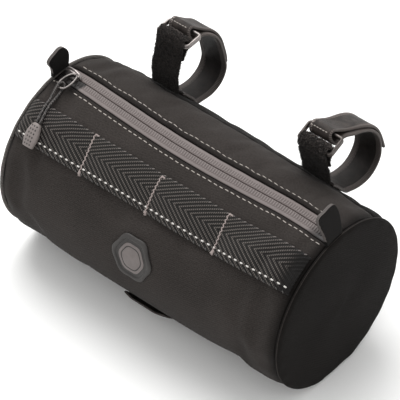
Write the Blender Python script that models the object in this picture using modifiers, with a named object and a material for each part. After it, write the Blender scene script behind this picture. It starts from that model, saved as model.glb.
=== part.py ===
"""A roll-shaped bicycle handlebar bag with a top zip, a row of tacked webbing and two straps.

Units are metres and +Z is up. X runs along the barrel, -Y is the front and +Y the handlebar side.
The bag rests on its flattened underside, and the middle of that flat is the origin.
Angles about the barrel's axis are degrees from +Y towards +Z: 90 is the top and 180 the front.
"""

import math

import bmesh
import bpy
import numpy as np
from mathutils import Matrix, Vector

# Barrel
BARREL_LENGTH = 0.250
BARREL_RADIUS = 0.066
WALL = 0.002
REST_FLAT = 0.002
LEFT_DOME = 0.004
RIGHT_DOME = 0.0055
SEAM_GAP = 0.0003
BACK_TOP_ANGLE = 51.5
BACK_LOW_ANGLE = -52.0

# Zip
ZIP_WIDTH = 0.0165
TAPE_THICKNESS = 0.0010
TAPE_TUCK = 0.003
TAPE_CLEARANCE = 0.0004
SLIDER_SHARE = 0.036
SLIDER_LENGTH = 0.0155
SLIDER_WIDTH = 0.009
SLIDER_TAPER = 0.7
SLIDER_THICKNESS = 0.003
BRIDGE_PLACE = 0.0032
BRIDGE_LENGTH = 0.0034
BRIDGE_SPAN = 0.0080
BRIDGE_WALL = 0.0011
BAIL_WIRE = 0.0015
BAIL_LENGTH = 0.0155
BAIL_HALF_WIDTH = 0.0042

# Pull
CORD_DIAMETER = 0.0018
PULL_LENGTH = 0.0165
PULL_WIDTH = 0.0110
PULL_THICKNESS = 0.0055

# Webbing, badge and trim
WEBBING_WIDTH = 0.031
WEBBING_THICKNESS = 0.0016
WEBBING_ANGLE = 129.0
BAY_RISE = 0.0020
BADGE_RADIUS = 0.0170
BADGE_THICKNESS = 0.0014
BADGE_RIM = 0.0008
BADGE_ANGLE = 170.0
LOWER_LOOP_LENGTH = 0.037
LOWER_LOOP_WIDTH = 0.022
LOWER_LOOP_THICKNESS = 0.0015
LOWER_LOOP_RISE = 0.0020
LOWER_LOOP_ANGLE = 226.0
TAB_WIDTH = 0.019
TAB_HEIGHT = 0.021
TAB_THICKNESS = 0.003
TAB_OVERHANG = 0.001
TAB_FORWARD = 0.002

# Straps and rings
STRAP_OFFSET_LEFT = -0.0666
STRAP_OFFSET_RIGHT = 0.0716
STRAP_WIDTH = 0.0235
STRAP_THICKNESS = 0.0022
TAIL_WIDTH = 0.0210
LEG_WIDTH = 0.0245
LEG_WRAP_WIDTH = 0.0235
LEG_THICKNESS = 0.0024
LEG_RETURN = 0.0135
LEG_SEAT = 0.0009
LOOP_ANGLE = 37.5
LOOP_SPAN = 0.077
LOOP_REACH = 0.051
FOOT_TOP_ANGLE = 46.0
FOOT_LOW_ANGLE = 27.0
LEG_ANGLE = 52.0
RING_WIRE = 0.0022
RING_CORNER = 0.0020
RING_DEPTH = 0.0144
RING_CLEARANCE = 0.0004
RING_SIDE_GAP = 0.0012
LEFT_SLACK = 0.0026
RIGHT_SLACK = 0.0014
LAYER_GAP = 0.0004
LEG_TAPER = 0.012
LEG_JOIN = 0.0095
STRAP_TAPER = 0.009
STRAP_JOIN = 0.012
TAIL_LEFT = 0.046
TAIL_RIGHT = 0.050

AXIS_HEIGHT = BARREL_RADIUS - REST_FLAT

# How the barrel swells from end to end. Swells and dips are shares of the radius, and zip_degrees
# is the angle of the zip's middle line.
SECTION_COLUMNS = ("share", "back", "front", "top_dip", "zip_degrees")
SECTIONS = (
    (0.00, 0.030, 0.000, 0.000, 89.0),
    (0.05, 0.040, 0.010, 0.000, 89.3),
    (0.12, 0.066, 0.017, 0.006, 90.2),
    (0.25, 0.074, 0.019, 0.012, 92.0),
    (0.40, 0.078, 0.020, 0.015, 93.8),
    (0.55, 0.076, 0.020, 0.015, 94.4),
    (0.70, 0.062, 0.019, 0.012, 93.6),
    (0.85, 0.032, 0.017, 0.006, 92.4),
    (0.95, 0.008, 0.010, 0.000, 93.2),
    (1.00, 0.000, 0.000, 0.000, 94.0),
)
BACK_LOBE = (38.0, 95.0)
FRONT_LOBE = (218.0, 75.0)
TOP_LOBE = (94.0, 34.0)

# Soft dents pressed into the barrel, with the depth as a share of the radius. The columns are
# share, degrees, depth, half_share and half_degrees.
DENTS = (
    (0.075, 66.0, 0.018, 0.040, 16.0),
    (0.955, 104.0, 0.014, 0.030, 14.0),
    (0.930, 160.0, 0.010, 0.045, 24.0),
    (0.060, 170.0, 0.010, 0.050, 22.0),
)

# The domed end from rim to middle: inset is a share of the radius, rise a share of the dome.
END_COLUMNS = ("inset", "rise")
END_PROFILE = (
    (0.000, 0.00),
    (0.000, 0.20),
    (0.012, 0.46),
    (0.060, 0.66),
    (0.300, 0.86),
    (0.620, 0.98),
    (1.000, 1.00),
)

# Where the webbing is tacked down, as shares of the barrel's length.
TACKS = (0.004, 0.242, 0.486, 0.726, 0.985)

# A tab's outline, from its front foot over the fold to its back foot, in shares of width and height.
TAB_OUTLINE = (
    (-0.42, 0.14),
    (-0.46, 0.34),
    (-0.58, 0.58),
    (-0.60, 0.74),
    (-0.46, 0.86),
    (-0.06, 0.98),
    (0.12, 0.97),
    (0.30, 0.83),
    (0.42, 0.62),
    (0.46, 0.36),
    (0.42, 0.14),
)

# Middle lines of the straps in each loop's own frame: along is a share of the span towards the
# top, out a share of the reach away from the barrel. Each list runs from the barrel to the ring.
LEFT_STRAP = (
    (-0.240, 0.096),
    (-0.343, 0.296),
    (-0.364, 0.481),
    (-0.314, 0.648),
    (-0.196, 0.757),
    (-0.078, 0.834),
    (0.068, 0.906),
    (0.182, 0.916),
    (0.321, 0.853),
)
LEFT_LEG = (
    (0.292, 0.043),
    (0.393, 0.153),
    (0.466, 0.300),
    (0.535, 0.424),
)
LEFT_RING = (0.519, 0.664, 4.0)
LEFT_TIP = (
    (-0.213, 0.804),
    (-0.281, 0.744),
)
RIGHT_STRAP = (
    (-0.227, 0.065),
    (-0.355, 0.215),
    (-0.423, 0.375),
    (-0.428, 0.543),
    (-0.384, 0.688),
    (-0.294, 0.794),
    (-0.202, 0.864),
    (0.030, 0.884),
    (0.151, 0.821),
    (0.297, 0.694),
    (0.407, 0.582),
)
RIGHT_LEG = (
    (0.349, 0.076),
    (0.464, 0.141),
)
RIGHT_RING = (0.535, 0.400, 22.7)
RIGHT_TIP = (
    (-0.206, 0.917),
    (-0.309, 0.870),
    (-0.397, 0.824),
)

# The cord's route, chosen by hand in metres from the slider's bridge: along the barrel, round it
# towards the front, and out from it. It runs from the pull's end round the bail and back.
CORD_ROUTE = (
    (0.0072, 0.0440, 0.0067),
    (0.0062, 0.0400, 0.0060),
    (0.0050, 0.0350, 0.0052),
    (0.0040, 0.0300, 0.0044),
    (0.0030, 0.0255, 0.0027),
    (0.0022, 0.0210, 0.0014),
    (0.0016, 0.0168, 0.0012),
    (0.0013, 0.0138, 0.0013),
    (0.0009, 0.0118, 0.0022),
    (0.0000, 0.0112, 0.0033),
    (-0.0009, 0.0119, 0.0045),
    (-0.0013, 0.0138, 0.0052),
    (-0.0013, 0.0160, 0.0053),
    (-0.0010, 0.0190, 0.0045),
    (-0.0004, 0.0225, 0.0034),
    (0.0004, 0.0260, 0.0034),
    (0.0012, 0.0300, 0.0044),
    (0.0022, 0.0350, 0.0052),
    (0.0034, 0.0400, 0.0060),
    (0.0044, 0.0440, 0.0067),
)
CORD_SAMPLES = 44

# Where a band turns round a bar of its ring: degrees from the bar's back towards its top.
LEG_FOLD = (195, 165, 135, 110, 90, 70, 45, 15, -15, -42)
LEFT_FOLD = (-88, -115, -145, -180, -210, -240, -268, -292)
RIGHT_FOLD = (-96, -120, -145, -170, -195, -220, -245, -270, -295, -312)
LEG_SAMPLES = (22, 7)
STRAP_SAMPLES = (42, 22)


def clear_scene():
    for item in list(bpy.data.objects):
        bpy.data.objects.remove(item, do_unlink=True)


def collection(name):
    group = bpy.data.collections.new(name)
    bpy.context.scene.collection.children.link(group)
    return group


def plain_material(name, colour, roughness, metallic=0.0):
    material = bpy.data.materials.new(name)
    material.use_nodes = True
    shader = material.node_tree.nodes["Principled BSDF"]
    shader.inputs["Base Color"].default_value = (*colour, 1.0)
    shader.inputs["Roughness"].default_value = roughness
    shader.inputs["Metallic"].default_value = metallic
    return material


def column(rows, names, name):
    """One named column of a table as an array."""
    return np.array([row[names.index(name)] for row in rows])


def curve_value(knots, values, at):
    """A smooth curve through the knots, read at one place or many."""
    slopes = np.gradient(values, knots)
    index = np.clip(np.searchsorted(knots, at, side="right") - 1, 0, len(knots) - 2)
    width = knots[index + 1] - knots[index]
    t = (at - knots[index]) / width
    rise = values[index] * (2 * t**3 - 3 * t**2 + 1) + values[index + 1] * (3 * t**2 - 2 * t**3)
    lean = slopes[index] * (t**3 - 2 * t**2 + t) + slopes[index + 1] * (t**3 - t**2)
    return rise + lean * width


def smooth_path(points, count):
    """Evenly spaced points on one smooth curve through the given points."""
    points = np.array(points, dtype=float)
    steps = np.linalg.norm(np.diff(points, axis=0), axis=1)
    knots = np.concatenate([[0.0], np.cumsum(steps)])
    fine = np.linspace(0.0, knots[-1], count * 8)
    dense = np.stack([curve_value(knots, points[:, axis], fine) for axis in range(points.shape[1])], axis=1)
    lengths = np.concatenate([[0.0], np.cumsum(np.linalg.norm(np.diff(dense, axis=0), axis=1))])
    even = np.linspace(0.0, lengths[-1], count)
    return np.stack([np.interp(even, lengths, dense[:, axis]) for axis in range(points.shape[1])], axis=1)


def lobe(degrees, centre, half_width):
    """One soft swell round the barrel: 1 at its centre and 0 from its half width on."""
    away = abs((degrees - centre + 180.0) % 360.0 - 180.0)
    if away >= half_width:
        return 0.0
    return math.cos(0.5 * math.pi * away / half_width) ** 2


def section(name, share):
    inside = min(max(share, 0.0), 1.0)
    return float(curve_value(SECTION_SHARES, SECTION_VALUES[name], inside))


def surface_radius(share, degrees):
    """The barrel's outer radius at a share of its length and an angle."""
    swell = section("back", share) * lobe(degrees, *BACK_LOBE)
    swell += section("front", share) * lobe(degrees, *FRONT_LOBE)
    swell -= section("top_dip", share) * lobe(degrees, *TOP_LOBE)
    for at_share, at_degrees, depth, half_share, half_degrees in DENTS:
        along = max(0.0, 1.0 - ((share - at_share) / half_share) ** 2)
        swell -= depth * along**2 * lobe(degrees, at_degrees, half_degrees)
    return BARREL_RADIUS * (1.0 + swell)


def surface_point(share, degrees, height=0.0):
    """A point on the barrel, or the given height out from it, never lower than the rest flat."""
    radius = surface_radius(share, degrees) + height
    angle = math.radians(degrees)
    z = max(AXIS_HEIGHT + radius * math.sin(angle), -height)
    return Vector(((share - 0.5) * BARREL_LENGTH, radius * math.cos(angle), z))


def zip_degrees(share):
    return section("zip_degrees", share)


def zip_edge(share, side):
    """The angle of a panel's edge along the zip: side is 1 for the front and -1 for the rear."""
    return zip_degrees(share) + side * math.degrees(0.5 * ZIP_WIDTH / BARREL_RADIUS)


def grid_faces(rows, columns, closed=False):
    """Quads between neighbouring rows, wound so that rising columns then rising rows face out."""
    faces = []
    spans = columns if closed else columns - 1
    for row in range(rows - 1):
        for step in range(spans):
            nearby = (step + 1) % columns
            a, b = row * columns + step, row * columns + nearby
            faces.append((a, b, b + columns, a + columns))
    return faces


def make_object(name, points, faces, material, group):
    mesh = bpy.data.meshes.new(name)
    mesh.from_pydata([tuple(point) for point in points], [], faces)
    mesh.materials.append(material)
    mesh.shade_smooth()
    mesh.set_sharp_from_angle(angle=math.radians(40.0))
    item = bpy.data.objects.new(name, mesh)
    group.objects.link(item)
    return item


def add_wall(item, thickness, offset):
    solidify = item.modifiers.new("wall", "SOLIDIFY")
    solidify.thickness = thickness
    solidify.offset = offset
    solidify.use_even_offset = True
    return item


def add_bevel(item, width, segments=2):
    bevel = item.modifiers.new("round_edges", "BEVEL")
    bevel.width = width
    bevel.segments = segments
    bevel.limit_method = "ANGLE"
    return item


def wall_panel(name, first, last, columns, material, group, depth=0.0, wall=WALL, rows=15):
    """A curved wall between two edges, each an angle that may change along the barrel.

    Its thickness runs along the barrel's radius, so that neighbouring panels meet squarely.
    """
    spots = []
    for share in np.linspace(0.0, 1.0, rows):
        for t in np.linspace(0.0, 1.0, columns):
            spots.append((share, first(share) * (1.0 - t) + last(share) * t))
    points = [surface_point(share, degrees, -depth) for share, degrees in spots]
    points += [surface_point(share, degrees, -depth - wall) for share, degrees in spots]
    outer = grid_faces(rows, columns)
    under = rows * columns
    faces = outer + [tuple(under + corner for corner in reversed(face)) for face in outer]
    rim = list(range(columns - 1)) + list(range(columns - 1, under - 1, columns))
    rim += list(range(under - 1, under - columns, -1)) + list(range(under - columns, 0, -columns))
    faces += [(b, a, under + a, under + b) for a, b in zip(rim, rim[1:] + rim[:1])]
    return make_object(name, points, faces, material, group)


def end_panel(name, side, dome, material, group, segments=44):
    """A domed end: rings of the barrel's own outline that close on the middle."""
    share = 0.0 if side < 0 else 1.0
    insets = column(END_PROFILE, END_COLUMNS, "inset")
    rises = column(END_PROFILE, END_COLUMNS, "rise")
    edge = side * (0.5 * BARREL_LENGTH + SEAM_GAP)
    points = []
    for inset, rise in zip(insets[:-1], rises[:-1]):
        for step in range(segments):
            point = surface_point(share, 360.0 * step / segments)
            centre = Vector((0.0, 0.0, AXIS_HEIGHT))
            ring = centre + (point - centre) * (1.0 - inset)
            points.append((edge + side * dome * rise, ring.y, ring.z))
    points.append((edge + side * dome, 0.0, AXIS_HEIGHT))
    rings = len(insets) - 1
    faces = grid_faces(rings, segments, closed=True)
    last = (rings - 1) * segments
    faces += [(last + step, last + (step + 1) % segments, len(points) - 1) for step in range(segments)]
    item = make_object(name, points, faces, material, group)
    if side < 0:
        item.data.flip_normals()
    return add_wall(item, WALL, -1.0)


def webbing_height(share):
    """How far the webbing's back stands off the barrel: nothing at a tack, most between two."""
    for start, end in zip(TACKS, TACKS[1:]):
        if start <= share <= end:
            return SEAM_GAP + BAY_RISE * math.sin(math.pi * (share - start) / (end - start)) ** 0.8
    return SEAM_GAP


def daisy_webbing(material, group):
    half = math.degrees(0.5 * WEBBING_WIDTH / BARREL_RADIUS)
    bays = [np.linspace(start, end, 9)[:-1] for start, end in zip(TACKS, TACKS[1:])]
    shares = np.concatenate(bays + [[TACKS[-1]]])
    across = np.linspace(WEBBING_ANGLE - half, WEBBING_ANGLE + half, 6)
    points = []
    for share in shares:
        points += [surface_point(share, degrees, webbing_height(share)) for degrees in across]
    item = make_object("daisy_webbing", points, grid_faces(len(shares), len(across)), material, group)
    return add_wall(item, WEBBING_THICKNESS, 1.0)


def bottom_loop(material, group):
    """A short webbing loop, sewn down at both ends along the barrel."""
    half = math.degrees(0.5 * LOWER_LOOP_WIDTH / BARREL_RADIUS)
    half_share = 0.5 * LOWER_LOOP_LENGTH / BARREL_LENGTH
    shares = np.linspace(-half_share, half_share, 11)
    across = np.linspace(LOWER_LOOP_ANGLE - half, LOWER_LOOP_ANGLE + half, 5)
    points = []
    for share in shares:
        rise = min(1.0, 2.4 * (1.0 - abs(share) / half_share)) ** 0.7
        for degrees in across:
            points.append(surface_point(0.5 + share, degrees, SEAM_GAP + LOWER_LOOP_RISE * rise))
    item = make_object("bottom_loop", points, grid_faces(len(shares), len(across)), material, group)
    return add_wall(item, LOWER_LOOP_THICKNESS, 1.0)


def badge(material, group):
    """A rubber patch with six soft corners and a raised rim, wrapped on the front."""
    segments = 30
    rings = ((0.0, 0.0), (0.58, 0.0), (0.66, 1.0), (0.90, 1.0), (1.0, 0.35))
    points = [surface_point(0.5, BADGE_ANGLE, SEAM_GAP)]
    for reach, lift in rings[1:]:
        for step in range(segments):
            turn = 2.0 * math.pi * step / segments
            radius = BADGE_RADIUS * reach * (1.0 + 0.05 * math.cos(6.0 * turn))
            share = 0.5 + radius * math.cos(turn) / BARREL_LENGTH
            degrees = BADGE_ANGLE + math.degrees(radius * math.sin(turn) / BARREL_RADIUS)
            points.append(surface_point(share, degrees, SEAM_GAP + BADGE_RIM * lift))
    faces = [(0, 1 + (step + 1) % segments, 1 + step) for step in range(segments)]
    for ring in range(len(rings) - 2):
        start = 1 + ring * segments
        for step in range(segments):
            nearby = (step + 1) % segments
            faces.append((start + step, start + nearby, start + segments + nearby, start + segments + step))
    item = make_object("badge", points, faces, material, group)
    return add_wall(item, BADGE_THICKNESS, 1.0)


def tube(name, points, diameter, material, group, closed=False, resolution=2):
    """A round wire or cord along the given points."""
    curve = bpy.data.curves.new(name, "CURVE")
    curve.dimensions = "3D"
    curve.bevel_depth = 0.5 * diameter
    curve.bevel_resolution = resolution
    curve.use_fill_caps = not closed
    spline = curve.splines.new("POLY")
    spline.points.add(len(points) - 1)
    for place, point in zip(spline.points, points):
        place.co = (*point, 1.0)
    spline.use_cyclic_u = closed
    curve.materials.append(material)
    item = bpy.data.objects.new(name, curve)
    group.objects.link(item)
    return item


def placed_on_barrel(item, share, degrees, height):
    """Stand an object on the barrel with its own +Z pointing out and +Y towards the back."""
    angle = math.radians(degrees)
    item.location = surface_point(share, degrees, height)
    item.rotation_euler = (angle - 0.5 * math.pi, 0.0, 0.0)
    return item


def block(name, size, centre, group):
    bpy.ops.mesh.primitive_cube_add(size=1.0)
    item = bpy.context.active_object
    item.name = name
    item.data.name = name
    item.data.transform(Matrix.Translation(centre) @ Matrix.Diagonal((*size, 1.0)))
    for owner in list(item.users_collection):
        owner.objects.unlink(item)
    group.objects.link(item)
    return item


def zip_slider(material, group, cutters):
    """The slider's body with the low bridge that the bail hangs from."""
    top = SLIDER_THICKNESS
    body = block("zip_slider", (SLIDER_LENGTH, SLIDER_WIDTH, top), (0.0, 0.0, 0.5 * top), group)
    for vertex in body.data.vertices:
        if vertex.co.x < 0.0:
            vertex.co.y *= SLIDER_TAPER
    body.data.materials.append(material)
    add_bevel(body, 0.0009)
    hole = BAIL_WIRE + 2.0 * RING_CLEARANCE
    height = hole + BRIDGE_WALL
    tall = height + 0.5 * top
    middle = top + height - 0.5 * tall
    size = (BRIDGE_LENGTH, BRIDGE_SPAN, tall)
    bridge = block("slider_bridge", size, (BRIDGE_PLACE, 0.0, middle), cutters)
    add_bevel(bridge, 0.0007)
    inner = BRIDGE_SPAN - 2.0 * BRIDGE_WALL
    passage = (2.0 * BRIDGE_LENGTH, inner, hole)
    tunnel = block("slider_tunnel", passage, (BRIDGE_PLACE, 0.0, top + 0.5 * hole), cutters)
    for tool, operation in ((bridge, "UNION"), (tunnel, "DIFFERENCE")):
        boolean = body.modifiers.new(tool.name, "BOOLEAN")
        boolean.operation = operation
        boolean.object = tool
        tool.hide_render = True
        tool.display_type = "WIRE"
    seat = WALL + TAPE_CLEARANCE - SEAM_GAP
    for item in (body, bridge, tunnel):
        placed_on_barrel(item, SLIDER_SHARE, zip_degrees(SLIDER_SHARE), -seat)
    return body


def pull_point(along, round_front, out):
    """A point given from the slider's bridge: along the barrel, round it to the front, and out."""
    degrees = zip_degrees(SLIDER_SHARE) + math.degrees(round_front / BARREL_RADIUS)
    return surface_point(SLIDER_SHARE + (BRIDGE_PLACE + along) / BARREL_LENGTH, degrees, out)


def zip_bail(material, group):
    """A rounded wire loop that lies over towards the front from under the bridge."""
    start = SLIDER_THICKNESS - WALL - TAPE_CLEARANCE + SEAM_GAP + RING_CLEARANCE + 0.5 * BAIL_WIRE
    end = 2.0 * SEAM_GAP + CORD_DIAMETER + 0.5 * BAIL_WIRE
    points = []
    for turn in np.linspace(0.0, 2.0 * math.pi, 24, endpoint=False):
        reach = 0.5 - 0.5 * math.cos(turn)
        width = BAIL_HALF_WIDTH * (1.0 + 0.12 * (2.0 * reach - 1.0))
        side = math.copysign(abs(math.sin(turn)) ** 0.7, math.sin(turn))
        points.append(pull_point(width * side, BAIL_LENGTH * reach, start + (end - start) * reach))
    return tube("zip_bail", points, BAIL_WIRE, material, group, closed=True)


def pull_end(material, group):
    """A moulded grip at the end of the cord, narrow where the cord goes in."""
    outline = ((0.00, 0.42), (0.06, 0.62), (0.30, 0.88), (0.60, 1.00), (0.84, 0.82), (0.96, 0.48))
    sides = 14
    last = CORD_ROUTE[-1]
    first = CORD_ROUTE[0]
    top = Vector(first).lerp(Vector(last), 0.5)
    points = []
    for reach, width in outline:
        for step in range(sides):
            turn = 2.0 * math.pi * step / sides
            x = 0.5 * PULL_WIDTH * width * math.cos(turn)
            z = 0.5 * PULL_THICKNESS * width**0.6 * math.sin(turn)
            points.append(pull_point(top.x + x, top.y + SEAM_GAP + PULL_LENGTH * reach, top.z + z))
    points.append(pull_point(top.x, top.y + SEAM_GAP, top.z))
    points.append(pull_point(top.x, top.y + SEAM_GAP + PULL_LENGTH, top.z))
    faces = grid_faces(len(outline), sides, closed=True)
    final = (len(outline) - 1) * sides
    for step in range(sides):
        nearby = (step + 1) % sides
        faces.append((nearby, step, len(points) - 2))
        faces.append((final + step, final + nearby, len(points) - 1))
    return make_object("pull_end", points, faces, material, group)


def end_tab(name, side, lean, material, group):
    """A folded webbing fin that stands across the zip's end."""
    share = 0.5 + side * (0.5 + TAB_OVERHANG / BARREL_LENGTH)
    centre = zip_degrees(share) + math.degrees(TAB_FORWARD / BARREL_RADIUS)
    half = math.degrees(0.5 * TAB_WIDTH * 0.84 / BARREL_RADIUS)
    lift = SEAM_GAP + 0.5 * TAB_THICKNESS * math.sin(abs(lean))
    foot = [surface_point(share, centre + half * t, lift) for t in np.linspace(-1.0, 1.0, 5)]
    base = surface_point(share, centre, 0.0)
    curve = bpy.data.curves.new(name, "CURVE")
    curve.dimensions = "2D"
    curve.fill_mode = "BOTH"
    curve.extrude = 0.5 * TAB_THICKNESS
    outline = [(width * TAB_WIDTH, height * TAB_HEIGHT) for width, height in TAB_OUTLINE]
    edge = [tuple(point) for point in smooth_path(outline, 22)]
    edge += [(point.y - base.y, point.z - base.z) for point in foot]
    spline = curve.splines.new("POLY")
    spline.points.add(len(edge) - 1)
    for place, (y, z) in zip(spline.points, edge):
        place.co = (y, z, 0.0, 1.0)
    spline.use_cyclic_u = True
    curve.materials.append(material)
    item = bpy.data.objects.new(name, curve)
    group.objects.link(item)
    upright = Matrix(((0.0, 0.0, 1.0), (1.0, 0.0, 0.0), (0.0, 1.0, 0.0)))
    item.matrix_world = Matrix.Translation(base) @ (Matrix.Rotation(lean, 3, "Y") @ upright).to_4x4()
    return item


def loop_point(offset, along, out):
    """A point in a strap loop's own frame, as y and z."""
    angle = math.radians(LOOP_ANGLE)
    base = surface_radius(0.5 + offset / BARREL_LENGTH, LOOP_ANGLE) + out
    y = base * math.cos(angle) - along * math.sin(angle)
    z = AXIS_HEIGHT + base * math.sin(angle) + along * math.cos(angle)
    return np.array([y, z])


def table_points(offset, rows):
    return [loop_point(offset, along * LOOP_SPAN, out * LOOP_REACH) for along, out in rows]


def clear_radius(offset, degrees, width):
    """The largest radius under a band that lies across the barrel at one angle."""
    spots = (offset - 0.5 * width, offset, offset + 0.5 * width)
    return max(surface_radius(0.5 + spot / BARREL_LENGTH, degrees) for spot in spots)


def polar(radius, degrees):
    angle = math.radians(degrees)
    return np.array([radius * math.cos(angle), AXIS_HEIGHT + radius * math.sin(angle)])


def ring_frame(offset, ring):
    """The ring's middle and its two directions: back along its depth, and up through its hole."""
    middle = loop_point(offset, ring[0] * LOOP_SPAN, ring[1] * LOOP_REACH)
    tilt = math.radians(ring[2])
    return middle, np.array([math.cos(tilt), math.sin(tilt)]), np.array([-math.sin(tilt), math.cos(tilt)])


def round_bar(bar, back, up, thickness, slack, angles):
    """Points of a band's middle line round one bar, looser by the slack towards the ring's middle."""
    loose = RING_CLEARANCE + 0.5 * thickness + 0.5 * abs(slack)
    deep = 0.5 * RING_WIRE + loose
    tall = RING_WIRE + loose
    centre = bar + back * 0.5 * slack
    turns = [math.radians(angle) for angle in angles]
    return [centre + back * deep * math.cos(turn) + up * tall * math.sin(turn) for turn in turns]


def band(name, offset, path, widths, thickness, material, group):
    """A flat band of the given widths and thickness along a middle line in the Y-Z plane."""
    points = []
    for (y, z), width in zip(path, widths):
        points.append((offset - 0.5 * width, y, z))
        points.append((offset + 0.5 * width, y, z))
    item = make_object(name, points, grid_faces(len(path), 2), material, group)
    return add_wall(item, thickness, 0.0)


def path_lengths(points):
    """The distance travelled at each point of a path."""
    steps = np.linalg.norm(np.diff(points, axis=0), axis=1)
    return np.concatenate([[0.0], np.cumsum(steps)])


def folded_path(lead, fold, step, start, stop, tip, samples):
    """A band's middle line: up its lead, round a bar, then back along the lead one step away.

    It joins its own lead at the distance start from the fold and follows it as far as stop.
    """
    lead = smooth_path(list(lead) + [fold[0]], samples[0])
    back = lead[::-1]
    ahead = np.gradient(back, axis=0)
    ahead = ahead / np.linalg.norm(ahead, axis=1, keepdims=True)
    beside = back + np.stack([-ahead[:, 1], ahead[:, 0]], axis=1) * step
    gone = path_lengths(back)
    kept = beside[(gone > start) & (gone < stop)]
    tail = smooth_path([fold[-1]] + list(kept[::2]) + list(tip), samples[1])
    return np.concatenate([lead, fold[1:-1], tail])


def strap_front_leg(name, offset, leg, ring, slack, material, group):
    """The fuzzy leg from the panel's seam over the ring's front bar and back to itself."""
    middle, back, up = ring_frame(offset, ring)
    bar = middle - back * 0.5 * RING_DEPTH
    start_radius = clear_radius(offset, LEG_ANGLE, LEG_WIDTH) + LEG_SEAT
    lead = [polar(start_radius, LEG_ANGLE)] + table_points(offset, leg)
    fold = round_bar(bar, back, up, LEG_THICKNESS, slack, LEG_FOLD)
    step = LEG_THICKNESS + LAYER_GAP
    path = folded_path(lead, fold, step, LEG_JOIN, LEG_RETURN, (), LEG_SAMPLES)
    lengths = path_lengths(path)
    turn = lengths[LEG_SAMPLES[0]]
    places = (0.0, turn - LEG_TAPER, turn - 0.25 * LEG_TAPER, lengths[-1])
    widths = np.interp(lengths, places, (LEG_WIDTH, LEG_WIDTH, LEG_WRAP_WIDTH, LEG_WRAP_WIDTH))
    return band(name, offset, path, widths, LEG_THICKNESS, material, group)


def strap(name, offset, rows, ring, slack, turns, tip, kept, material, group):
    """The strap from its sewn foot round the back, up through the ring and back over itself."""
    middle, back, up = ring_frame(offset, ring)
    bar = middle + back * 0.5 * RING_DEPTH
    foot = []
    for degrees in np.linspace(FOOT_TOP_ANGLE, FOOT_LOW_ANGLE, 5):
        radius = clear_radius(offset, degrees, STRAP_WIDTH) + SEAM_GAP + 0.5 * STRAP_THICKNESS
        foot.append(polar(radius, degrees))
    lead = foot + table_points(offset, rows)
    fold = round_bar(bar, back, up, STRAP_THICKNESS, -slack, turns)
    step = STRAP_THICKNESS + LAYER_GAP
    ends = table_points(offset, tip)
    path = folded_path(lead, fold, step, STRAP_JOIN, kept, ends, STRAP_SAMPLES)
    lengths = path_lengths(path)
    turn = lengths[STRAP_SAMPLES[0]]
    places = (0.0, turn - 2.0 * STRAP_TAPER, turn - STRAP_TAPER, lengths[-1])
    widths = np.interp(lengths, places, (STRAP_WIDTH, STRAP_WIDTH, TAIL_WIDTH, TAIL_WIDTH))
    return band(name, offset, path, widths, STRAP_THICKNESS, material, group)


def ring(name, offset, place, material, group):
    """A flat rectangular ring whose bars are two round wires, one above the other."""
    half_width = 0.5 * STRAP_WIDTH + RING_SIDE_GAP + 0.5 * RING_WIRE
    half_depth = 0.5 * RING_DEPTH
    corner = RING_CORNER
    path = []
    corners = ((1, 1, 0.0), (-1, 1, 90.0), (-1, -1, 180.0), (1, -1, 270.0))
    for side_x, side_y, start in corners:
        for step in range(5):
            turn = math.radians(start + 22.5 * step)
            x = side_x * (half_width - corner) + corner * math.cos(turn)
            y = side_y * (half_depth - corner) + corner * math.sin(turn)
            path.append((x, y, math.cos(turn), math.sin(turn)))
    wire = 0.5 * RING_WIRE
    profile = []
    for lift, first in ((wire, -45.0), (-wire, 135.0)):
        for step in range(6):
            turn = math.radians(first + 54.0 * step)
            profile.append((wire * math.cos(turn), lift + wire * math.sin(turn)))
    points = []
    for x, y, out_x, out_y in path:
        for away, lift in profile:
            points.append((x + away * out_x, y + away * out_y, lift))
    points += points[: len(profile)]
    faces = grid_faces(len(path) + 1, len(profile), closed=True)
    item = make_object(name, points, faces, material, group)
    shape = bmesh.new()
    shape.from_mesh(item.data)
    bmesh.ops.remove_doubles(shape, verts=shape.verts, dist=0.00001)
    bmesh.ops.recalc_face_normals(shape, faces=shape.faces)
    shape.to_mesh(item.data)
    shape.free()
    middle = ring_frame(offset, place)[0]
    item.location = (offset, middle[0], middle[1])
    item.rotation_euler = (math.radians(place[2]), 0.0, 0.0)
    return item


SECTION_SHARES = column(SECTIONS, SECTION_COLUMNS, "share")
SECTION_VALUES = {name: column(SECTIONS, SECTION_COLUMNS, name) for name in SECTION_COLUMNS[1:]}


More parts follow.
